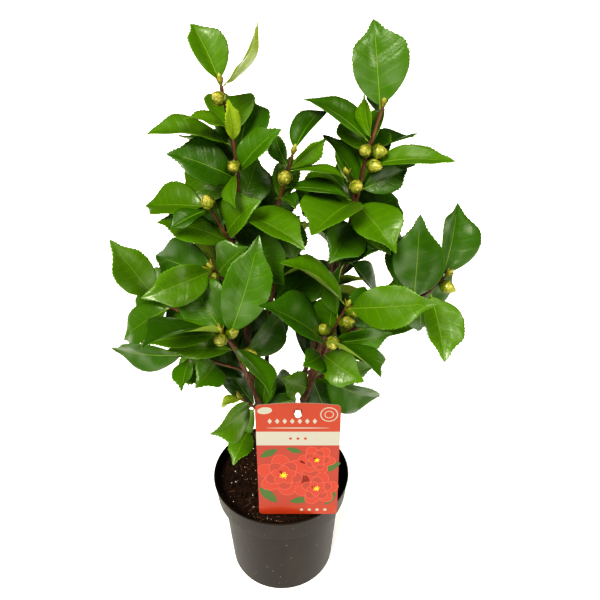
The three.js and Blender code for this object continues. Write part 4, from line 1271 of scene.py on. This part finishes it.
class SHRUB_OT_bark(bpy.types.Operator):
    """Grows the trunk and the boughs with the relief of their bark"""

    bl_idname = "shrub.bark"
    bl_label = "Trunk and boughs"

    def execute(self, context):
        settings = context.scene.shrub_bark
        stems = grow_stems()
        bm = bmesh.new()
        for index, row in enumerate(LIMBS):
            stem = stems[row["name"]]
            is_trunk = row["name"] == "trunk"
            template = Template(28 if is_trunk else 16, max(12, round(stem.length / 2.2)))

            def relief(t, place, stem=stem, index=index):
                spot = drawn_out(place, 0.5, 0.09, index * 7)
                ridges = noise.noise(spot) + 0.5 * noise.noise(spot * 2.3)
                scars = math.cos(2 * math.pi * t * stem.length / SCAR_STEP + index)
                return settings.relief * (ridges + 1.6 * max(0, scars) ** 24)

            places = tube_places(template, stem, relief)
            if is_trunk:
                places[:, 2] = np.maximum(places[:, 2], SOIL_LEVEL + 0.3)
            template.add(bm, places)
        # Thin bark: grey-brown with finer, darker grooves along the limb
        bark, tree, shader = new_material(
            "thin shrub bark", settings.bark_light, Roughness=0.72, IOR=1.45
        )
        mottle(
            tree, shader, 260, settings.bark_dark, settings.bark_light, (1, 1, 0.22),
            relief=(0.5, 0.0005),
        )
        finish_piece(bm, "trunk_and_boughs", [bark], [row["name"] for row in LIMBS])
        return {"FINISHED"}


class SHRUB_OT_foliage(bpy.types.Operator):
    """Grows the twigs, leaves and buds by the rule of the packed model"""

    bl_idname = "shrub.foliage"
    bl_label = "Twigs, leaves and buds"

    def execute(self, context):
        settings = context.scene.shrub_leaf
        stems = grow_stems()
        leaves = grow_leaves(stems)
        self.twigs(context.scene.shrub_bark, stems, leaves)
        self.leaves(settings, leaves)
        self.buds(settings, stems)
        return {"FINISHED"}

    def twigs(self, settings, stems, leaves):
        bm = bmesh.new()
        for index, row in enumerate(SHOOTS):
            stem = stems[row["name"]]
            template = Template(12, max(10, round(stem.length / 2)))
            bases = [leaf.base for leaf in leaves if leaf.row is row]

            def joints(t, place, bases=bases, index=index):
                near = min((np.linalg.norm(place - base) for base in bases), default=99)
                swell = JOINT_SWELL * math.exp(-((near / JOINT_SPREAD) ** 2))
                return swell + 0.22 * noise.noise(drawn_out(place, 0.6, 0.12, index * 5))

            template.add(bm, tube_places(template, stem, joints))
        # Young wood: smoother and redder than the bark of the boughs
        twig, tree, shader = new_material(
            "young shoot bark", settings.twig_light, Roughness=0.55, IOR=1.45
        )
        mottle(tree, shader, 190, settings.twig_dark, settings.twig_light, (1, 1, 0.3))
        finish_piece(bm, "twigs", [twig], FOLIAGE)

    def leaves(self, settings, leaves):
        # Underside without wax: pale and dull
        under, _, _ = new_material(
            "leaf underside", settings.under, Roughness=0.6, Specular_IOR_Level=0.15
        )
        # Midrib and stalk: firm and yellow-green, with a slight sheen
        rib, _, _ = new_material("leaf midrib", settings.midrib, Roughness=0.45, IOR=1.4)
        blade, tube = Template(BLADE_AROUND, BLADE_RINGS), Template(8, 16)
        materials, ribs = self.blade_materials(blade), [3] * len(tube.faces)
        rolls = dice(FORM_SEED)
        groups = {tint: bmesh.new() for tint in LEAF_TINTS}
        for index, leaf in enumerate(leaves):
            form = roll_form(rolls)
            bm = groups[leaf_tint(leaf, index)]
            blade.add(bm, blade_places(blade, leaf, settings, form), materials)
            tube.add(bm, midrib_places(tube, leaf, form), ribs)
        for tint, bm in groups.items():
            skins = [self.cuticle(f"waxy leaf, {tint}", LEAF_TINTS[tint][0])]
            skins.append(self.cuticle(f"waxy leaf, {tint} vein", LEAF_TINTS[tint][1]))
            finish_piece(bm, f"leaves_{tint}", [*skins, under, rib], FOLIAGE)

    def blade_materials(self, blade):
        """For each face: 0 on the blade, 1 on its side veins and edge, 2 on its underside."""
        ring = np.floor(blade.face_mean(blade.ring.astype(float))).astype(int)
        across = blade.face_mean(blade.across(EDGE_POWER))
        offset = np.where(across < 0, VEIN_STEP // 2, 0)
        on_vein = (ring + offset) % VEIN_STEP == 0
        on_vein &= (abs(across) < 0.7) & (ring > 3) & (ring < BLADE_RINGS - 14)
        on_edge = abs(across) > 0.96
        return np.where(blade.face_mean(blade.sine) < 0, 2, np.where(on_edge | on_vein, 1, 0))

    def cuticle(self, name, shade):
        # Waxy cuticle: a broad soft gloss, in patches over a puckered blade. The grain under it is
        # 2 mm, coarser than the real cells so that it shows
        skin, tree, shader = new_material(
            name, colour(shade), Specular_IOR_Level=0.1, Roughness=0.42, Coat_Roughness=0.34,
            Coat_IOR=1.6,
        )
        place = add_node(tree, "TexCoord").outputs["Object"]
        patterns = [
            add_node(tree, "TexNoise", {"Vector": place, "Scale": scale, "Detail": detail})
            for scale, detail in ((45, 1), (500, 3), (48, 0))
        ]
        wax, grain, pucker = (made.outputs["Fac"] for made in patterns)
        feeds = {"Value": wax, "From Min": 0.4, "From Max": 0.68, "To Min": 0.05, "To Max": 1.0}
        weight = add_node(tree, "MapRange", feeds).outputs["Result"]
        tree.links.new(weight, shader.inputs["Coat Weight"])
        feeds = {"Height": grain, "Strength": 0.4, "Distance": 0.0006}
        grained = add_node(tree, "Bump", feeds).outputs["Normal"]
        feeds = {"Height": pucker, "Strength": 0.9, "Distance": 0.004, "Normal": grained}
        puckered = add_node(tree, "Bump", feeds).outputs["Normal"]
        tree.links.new(grained, shader.inputs["Normal"])
        tree.links.new(puckered, shader.inputs["Coat Normal"])
        return skin

    def buds(self, settings, stems):
        bm, bracts = bmesh.new(), bmesh.new()
        core, scale, bract = Template(14, 12), Template(12, 10), Template(8, 6)
        rolls = dice(BUD_SEED)
        for row in SHOOTS:
            shoot = stems[row["name"]]
            for bud in row.get("buds", ()):
                girth, stretch = mix(*BUD_GIRTHS, next(rolls)), mix(*BUD_STRETCHES, next(rolls))
                size = (BUD_LENGTH * girth * stretch, BUD_RADIUS * girth)
                directions = bud_frame(*bud[1:])
                root = shoot.point(bud[0]) + directions[0] * (shoot.radius(bud[0]) - BUD_ROOT)
                start = 2 * math.pi * next(rolls)
                self.bud(bm, core, scale, root, directions, size, start, 0.3)
            end = shoot.along(1)
            rise = math.degrees(math.asin(end[2]))
            directions = bud_frame(math.degrees(math.atan2(end[1], end[0])), rise)
            way, across, other = directions
            root = shoot.point(1) - way * TIP_ROOT
            start = 2 * math.pi * next(rolls)
            self.bud(bm, core, scale, root, directions, (TIP_LENGTH, TIP_RADIUS), start, 0.15)
            for i in range(BRACTS):
                turn = start + math.pi / 2 * (i + 0.3 * next(rolls))
                out = math.cos(turn) * across + math.sin(turn) * other
                length = mix(*BRACT_LENGTHS, next(rolls))
                bract.add(bracts, bract_places(bract, root, way, out, length, BRACT_WIDTH))
        # Bud scales, firm and silky: olive outside, paler inside, and cream where they close; the
        # cream at the tip is partly a painted highlight
        skins = []
        for name, dark, light in (
            ("outer bud scale", settings.bud, settings.bud_light),
            ("inner bud scale", settings.bud_light, settings.bud_tip_and_highlight),
            ("silky bud tip", settings.bud_tip_and_highlight, settings.bud_light),
        ):
            skin, tree, shader = new_material(name, light, Roughness=0.34, IOR=1.45)
            mottle(tree, shader, 260, dark, light, span=(0.4, 0.75))
            skins.append(skin)
        # The scales' edges dry to a dull brown
        dry_edge, _, _ = new_material("dry scale edge", settings.bud_edge, Roughness=0.7)
        finish_piece(bm, "buds", [skins[0], dry_edge, *skins[1:]], FOLIAGE)
        # Bracts: thin and papery, straw-brown with little shine
        papery, _, _ = new_material("papery bract", settings.bract, Roughness=0.6, IOR=1.4)
        finish_piece(bracts, "bracts", [papery], FOLIAGE)

    def bud(self, bm, core, scale, root, directions, size, start, rise):
        """An egg in three rounds of scales: 0 outer skin, 1 dry edge, 2 inner skin, 3 silky tip,
        partly a painted highlight.
        """
        # The top of the core and of the upper scales is cream: silk, partly a painted highlight
        core_skin = np.where(core.face_mean(core.station) > 0.75, 3, 0)
        core.add(bm, core_places(core, root, directions, *size), core_skin)
        height = scale.face_mean(scale.station)
        rim = (scale.face_mean(abs(scale.cosine)) > 0.9) & (height > 0.3)
        for ring, tier in enumerate(SCALE_TIERS):
            up = tier[0] + (tier[1] - tier[0]) * height
            skin = np.where(up > 0.8, 3, np.where(up > 0.45, 2, 0))
            skin = np.where(rim & (up < 0.85), 1, skin)
            for i in range(3):
                turn = start + 2 * math.pi * (i / 3 + ring / 6)
                places = scale_places(
                    scale, root, directions, size, turn, tier, rise * (1 + ring)
                )
                scale.add(bm, places, skin)


# Label. The card's own plane is x across, y up and z out of its face
CARD_PLACE = Matrix.Translation((CARD_MIDDLE_X, CARD_FOOT_Y, CARD_FOOT_Z)) @ Matrix.Rotation(
    math.radians(90 - CARD_LEAN), 4, "X"
)
PICTURE_FOOT, PICTURE_TOP, STRIP_TOP = 14, 103, 122
INK_LAYER = 0.02
INKS = ("band", "strip", "field", "petal", "petal_light", "centre", "foliage")
BAND, PALE, FIELD, PETAL, PETAL_LIGHT, CENTRE, LEAFY = range(len(INKS))
# Drawn leaves: middle, size and turn
DRAWN_LEAVES = (
    (-34, 30, 15, 40), (36, 72, 13, -60), (-32, 92, 11, 120), (37, 25, 11, -30),
    (2, 22, 12, 100), (-4, 96, 9, 70),
)
BLOSSOMS = ((-16, 60, 17, 10), (21, 40, 14, 40), (21, 82, 11.5, 25))
# Rounds of petals: number, reach, half breadth and half length against the blossom's size, ink
PETAL_ROUNDS = (
    (6, 0.95, 0.62, 0.85, PETAL), (5, 0.62, 0.5, 0.66, FIELD), (5, 0.4, 0.34, 0.44, PETAL),
)
STAMENS = 13
# A ringed disc: radius and ink of each layer
DISC_X, DISC_Y, DISC_RINGS = 33, 145, ((9.5, PALE), (8.3, BAND), (5, PALE), (4, BAND))
# Rows of lozenges and dots: number, first x, step, y, half sizes, ink, point
ORNAMENT_ROWS = (
    (7, -30, 8, 136, 2.4, 3.6, PALE, 1.6),
    (3, -8, 8, 112.5, 1.6, 1.6, BAND, 1),
    (4, 4, 9, 7, 2, 2, PALE, 1),
)


class SHRUB_OT_label(bpy.types.Operator):
    """Prints the label's card with plain bands and simple blossoms, and moulds its stake"""

    bl_idname = "shrub.label"
    bl_label = "Plant label"

    def execute(self, context):
        settings = context.scene.shrub_label
        # Card stock under a clear film: the film gives a tight, even gloss
        prints = [
            new_material(
                f"film-laminated card, {ink}", getattr(settings, ink), Roughness=0.4, IOR=1.35,
                Coat_Weight=0.25, Coat_Roughness=0.12,
            )[0]
            for ink in INKS
        ]
        self.card(prints)
        self.artwork(prints)
        self.stake(settings)
        return {"FINISHED"}

    def card(self, prints):
        bm = node_copy("label_card")
        bmesh.ops.transform(bm, matrix=CARD_PLACE.inverted(), verts=bm.verts)
        bmesh.ops.dissolve_limit(bm, angle_limit=0.01, verts=bm.verts, edges=bm.edges)
        for height in (PICTURE_FOOT, PICTURE_TOP, STRIP_TOP):
            geom = bm.verts[:] + bm.edges[:] + bm.faces[:]
            bmesh.ops.bisect_plane(bm, geom=geom, plane_co=(0, height, 0), plane_no=(0, 1, 0))
        for face in bm.faces:
            height = face.calc_center_median().y
            face.material_index = PALE
            if face.normal.z > 0.5 and height < PICTURE_TOP:
                face.material_index = BAND if height < PICTURE_FOOT else FIELD
            elif face.normal.z > 0.5 and height > STRIP_TOP:
                face.material_index = BAND
        bmesh.ops.triangulate(bm, faces=bm.faces)
        bmesh.ops.transform(bm, matrix=CARD_PLACE, verts=bm.verts)
        finish_piece(bm, "label_print_card", prints, ["label_card"], smooth=False)

    def patch(self, bm, x, y, half_x, half_y, layer, ink, turn=0.0, point=1.0, sides=28):
        """A flat printed shape: an oval, drawn to a point where point is over 1."""
        made = bmesh.ops.create_circle(bm, cap_ends=True, segments=sides, radius=1)
        cosine, sine = math.cos(math.radians(turn)), math.sin(math.radians(turn))
        for vert in made["verts"]:
            px, py = vert.co.x, vert.co.y
            px, py = px * half_x * (1 - abs(py)) ** (point - 1), py * half_y
            vert.co.x, vert.co.y = x + px * cosine - py * sine, y + px * sine + py * cosine
            vert.co.z = CARD_THICKNESS + INK_LAYER * layer
        face = made["verts"][0].link_faces[0]
        face.material_index = ink
        if face.normal.z < 0:
            face.normal_flip()
        grown = bmesh.ops.extrude_face_region(bm, geom=[face])
        lifted = [v for v in grown["geom"] if isinstance(v, bmesh.types.BMVert)]
        bmesh.ops.translate(bm, verts=lifted, vec=(0, 0, INK_LAYER))
        for side in {f for v in lifted for f in v.link_faces}:
            side.material_index = ink

    def blossom(self, bm, x, y, size, start):
        """Three rounds of petals, each an oval on a larger, paler one that is its light edge."""
        for ring, (count, reach, wide, long, ink) in enumerate(PETAL_ROUNDS):
            for i in range(count):
                turn = start + 30 * ring + 360 / count * i
                px = x - size * reach * math.sin(math.radians(turn))
                py = y + size * reach * math.cos(math.radians(turn))
                wide_mm, long_mm, layer = size * wide, size * long, 2 + 3 * ring + i % 2
                self.patch(bm, px, py, wide_mm, long_mm, layer, PETAL_LIGHT, turn)
                self.patch(bm, px, py, wide_mm - 0.5, long_mm - 0.6, layer + 1, ink, turn)
        self.patch(bm, x, y, size * 0.16, size * 0.16, 11, CENTRE)
        for i in range(STAMENS):
            turn, out = 2.4 * i, size * 0.075 * math.sqrt(i + 1)
            px, py = x + out * math.cos(turn), y + out * math.sin(turn)
            self.patch(bm, px, py, size * 0.05, size * 0.05, 12, CENTRE, sides=8)

    def artwork(self, prints):
        bm = bmesh.new()
        for x, y, size, turn in DRAWN_LEAVES:
            self.patch(bm, x, y, size * 0.42, size, 1, LEAFY, turn, 1.25)
        for x, y, size, start in BLOSSOMS:
            self.blossom(bm, x, y, size, start)
        # Plain ornaments: an oval, a ringed disc, a rule, and rows of lozenges and dots
        self.patch(bm, -35, 150, 8, 4.5, 1, PALE, 8)
        for layer, (radius, ink) in enumerate(DISC_RINGS, 1):
            self.patch(bm, DISC_X, DISC_Y, radius, radius, layer, ink)
        self.patch(bm, 0, 127, 34, 0.7, 1, PALE)
        for count, x, step, y, half_x, half_y, ink, point in ORNAMENT_ROWS:
            for i in range(count):
                self.patch(bm, x + step * i, y, half_x, half_y, 1, ink, point=point, sides=16)
        bmesh.ops.transform(bm, matrix=CARD_PLACE, verts=bm.verts)
        finish_piece(bm, "label_artwork", prints, smooth=False)

    def stake(self, settings):
        bm = node_copy("label_stake")
        sharp = [e for e in bm.edges if len(e.link_faces) == 2 and e.calc_face_angle(0) > 0.7]
        bmesh.ops.bevel(
            bm, geom=sharp, offset=0.25, segments=2, profile=0.5, affect="EDGES", material=-1
        )
        # The lug spreads into an oval button that holds the card
        button = bmesh.ops.create_uvsphere(bm, u_segments=24, v_segments=12, radius=1)
        seat = Matrix.Translation((0, CARD_HEIGHT - 13.5, CARD_THICKNESS + 1.4))
        squash = Matrix.Diagonal((3.7, 4.9, 1.3, 1))
        bmesh.ops.transform(bm, matrix=CARD_PLACE @ seat @ squash, verts=button["verts"])
        # Moulded polystyrene: white, a little glossy
        plastic, _, _ = new_material(
            "moulded polystyrene", settings.stake, Roughness=0.35, IOR=1.58
        )
        finish_piece(bm, "label_stick", [plastic], ["label_stake"], sharp=40)


# Stage, in metres and degrees
FLOOR_SIZE = 30
CAMERA_PLACE, CAMERA_DOWN, CAMERA_LENS = (0.0238, -0.5486, 0.7194), 30.4, 36
LAMP_SPREAD = 26
LAMPS = {"key": (-0.6, -1.0, 1.2), "fill": (0.8, -0.8, 1.0), "top": (0.0, 0.15, 1.0)}


class SHRUB_OT_stage(bpy.types.Operator):
    """Sets the pale floor, the soft studio lights and the camera"""

    bl_idname = "shrub.stage"
    bl_label = "Stage"

    def execute(self, context):
        scene = context.scene
        settings = scene.shrub_stage
        # A light table: its glow takes the shadows away, as on the photo's cut-out ground
        matt, _, _ = new_material(
            "matt light table", settings.floor, Roughness=0.9, Specular_IOR_Level=0.1,
            Emission_Color=(1, 1, 1, 1), Emission_Strength=settings.glow,
        )
        bm = bmesh.new()
        bmesh.ops.create_grid(bm, x_segments=1, y_segments=1, size=FLOOR_SIZE)
        new_object("floor", new_mesh(bm, "floor", [matt]))
        scene.world = self.surroundings(settings)
        for name, place in LAMPS.items():
            lamp = bpy.data.lights.new(name, "SUN")
            lamp.angle, lamp.energy = math.radians(LAMP_SPREAD), getattr(settings, name)
            lamp.color = settings.light[:3]
            made = new_object(name, lamp)
            made.rotation_euler = (-Vector(place)).to_track_quat("-Z", "Y").to_euler()
        camera = bpy.data.cameras.new("camera")
        camera.lens, camera.sensor_width = CAMERA_LENS, 36
        scene.camera = new_object("camera", camera)
        scene.camera.location = CAMERA_PLACE
        scene.camera.rotation_euler = (math.radians(90 - CAMERA_DOWN), 0, 0)
        scene.view_settings.view_transform = "Standard"
        scene.view_settings.look = "High Contrast"
        return {"FINISHED"}

    def surroundings(self, settings):
        """A world that is brighter in front than behind, and dim overhead."""
        world = bpy.data.worlds.new("studio")
        world.use_nodes = True
        tree = world.node_tree
        way = add_node(tree, "TexCoord").outputs["Generated"]
        parts = add_node(tree, "SeparateXYZ", {"Vector": way}).outputs
        ramp = add_node(tree, "ValToRGB", {"Fac": parts["Z"]})
        low, high = ramp.color_ramp.elements
        low.position, low.color = 0.1, settings.light
        high.position, high.color = 0.6, [c * settings.ceiling for c in settings.light]
        feeds = {"Value": parts["Y"], "From Min": -0.4, "From Max": 0.4}
        feeds |= {"To Min": settings.front, "To Max": settings.back}
        strength = add_node(tree, "MapRange", feeds).outputs["Result"]
        ground = tree.nodes["Background"]
        tree.links.new(ramp.outputs["Color"], ground.inputs["Color"])
        tree.links.new(strength, ground.inputs["Strength"])
        return world


class SHRUB_PT_panel(bpy.types.Panel):
    """Lists the shrub's settings and pieces"""

    bl_idname = "SHRUB_PT_panel"
    bl_label = "Camellia shrub"
    bl_space_type = "VIEW_3D"
    bl_region_type = "UI"
    bl_category = "Shrub"

    def draw(self, context):
        for group, name in GROUPS.items():
            settings = getattr(context.scene, name)
            box = self.layout.box()
            box.label(text=group.__doc__.rstrip("."))
            for setting in settings.__annotations__:
                box.prop(settings, setting)
        for operator in OPERATORS:
            self.layout.operator(operator.bl_idname)


GROUPS = {
    SHRUB_PG_pot: "shrub_pot",
    SHRUB_PG_bark: "shrub_bark",
    SHRUB_PG_leaf: "shrub_leaf",
    SHRUB_PG_label: "shrub_label",
    SHRUB_PG_stage: "shrub_stage",
}
OPERATORS = (
    SHRUB_OT_pot,
    SHRUB_OT_compost,
    SHRUB_OT_bark,
    SHRUB_OT_foliage,
    SHRUB_OT_label,
    SHRUB_OT_stage,
)


def register():
    for group, name in GROUPS.items():
        bpy.utils.register_class(group)
        setattr(bpy.types.Scene, name, bpy.props.PointerProperty(type=group))
    for made in (*OPERATORS, SHRUB_PT_panel):
        bpy.utils.register_class(made)


def unregister():
    for made in (SHRUB_PT_panel, *reversed(OPERATORS)):
        bpy.utils.unregister_class(made)
    for group, name in reversed(GROUPS.items()):
        delattr(bpy.types.Scene, name)
        bpy.utils.unregister_class(group)


def main():
    register()
    for operator in OPERATORS:
        group, name = operator.bl_idname.split(".")
        getattr(getattr(bpy.ops, group), name)()


if __name__ == "__main__":
    main()
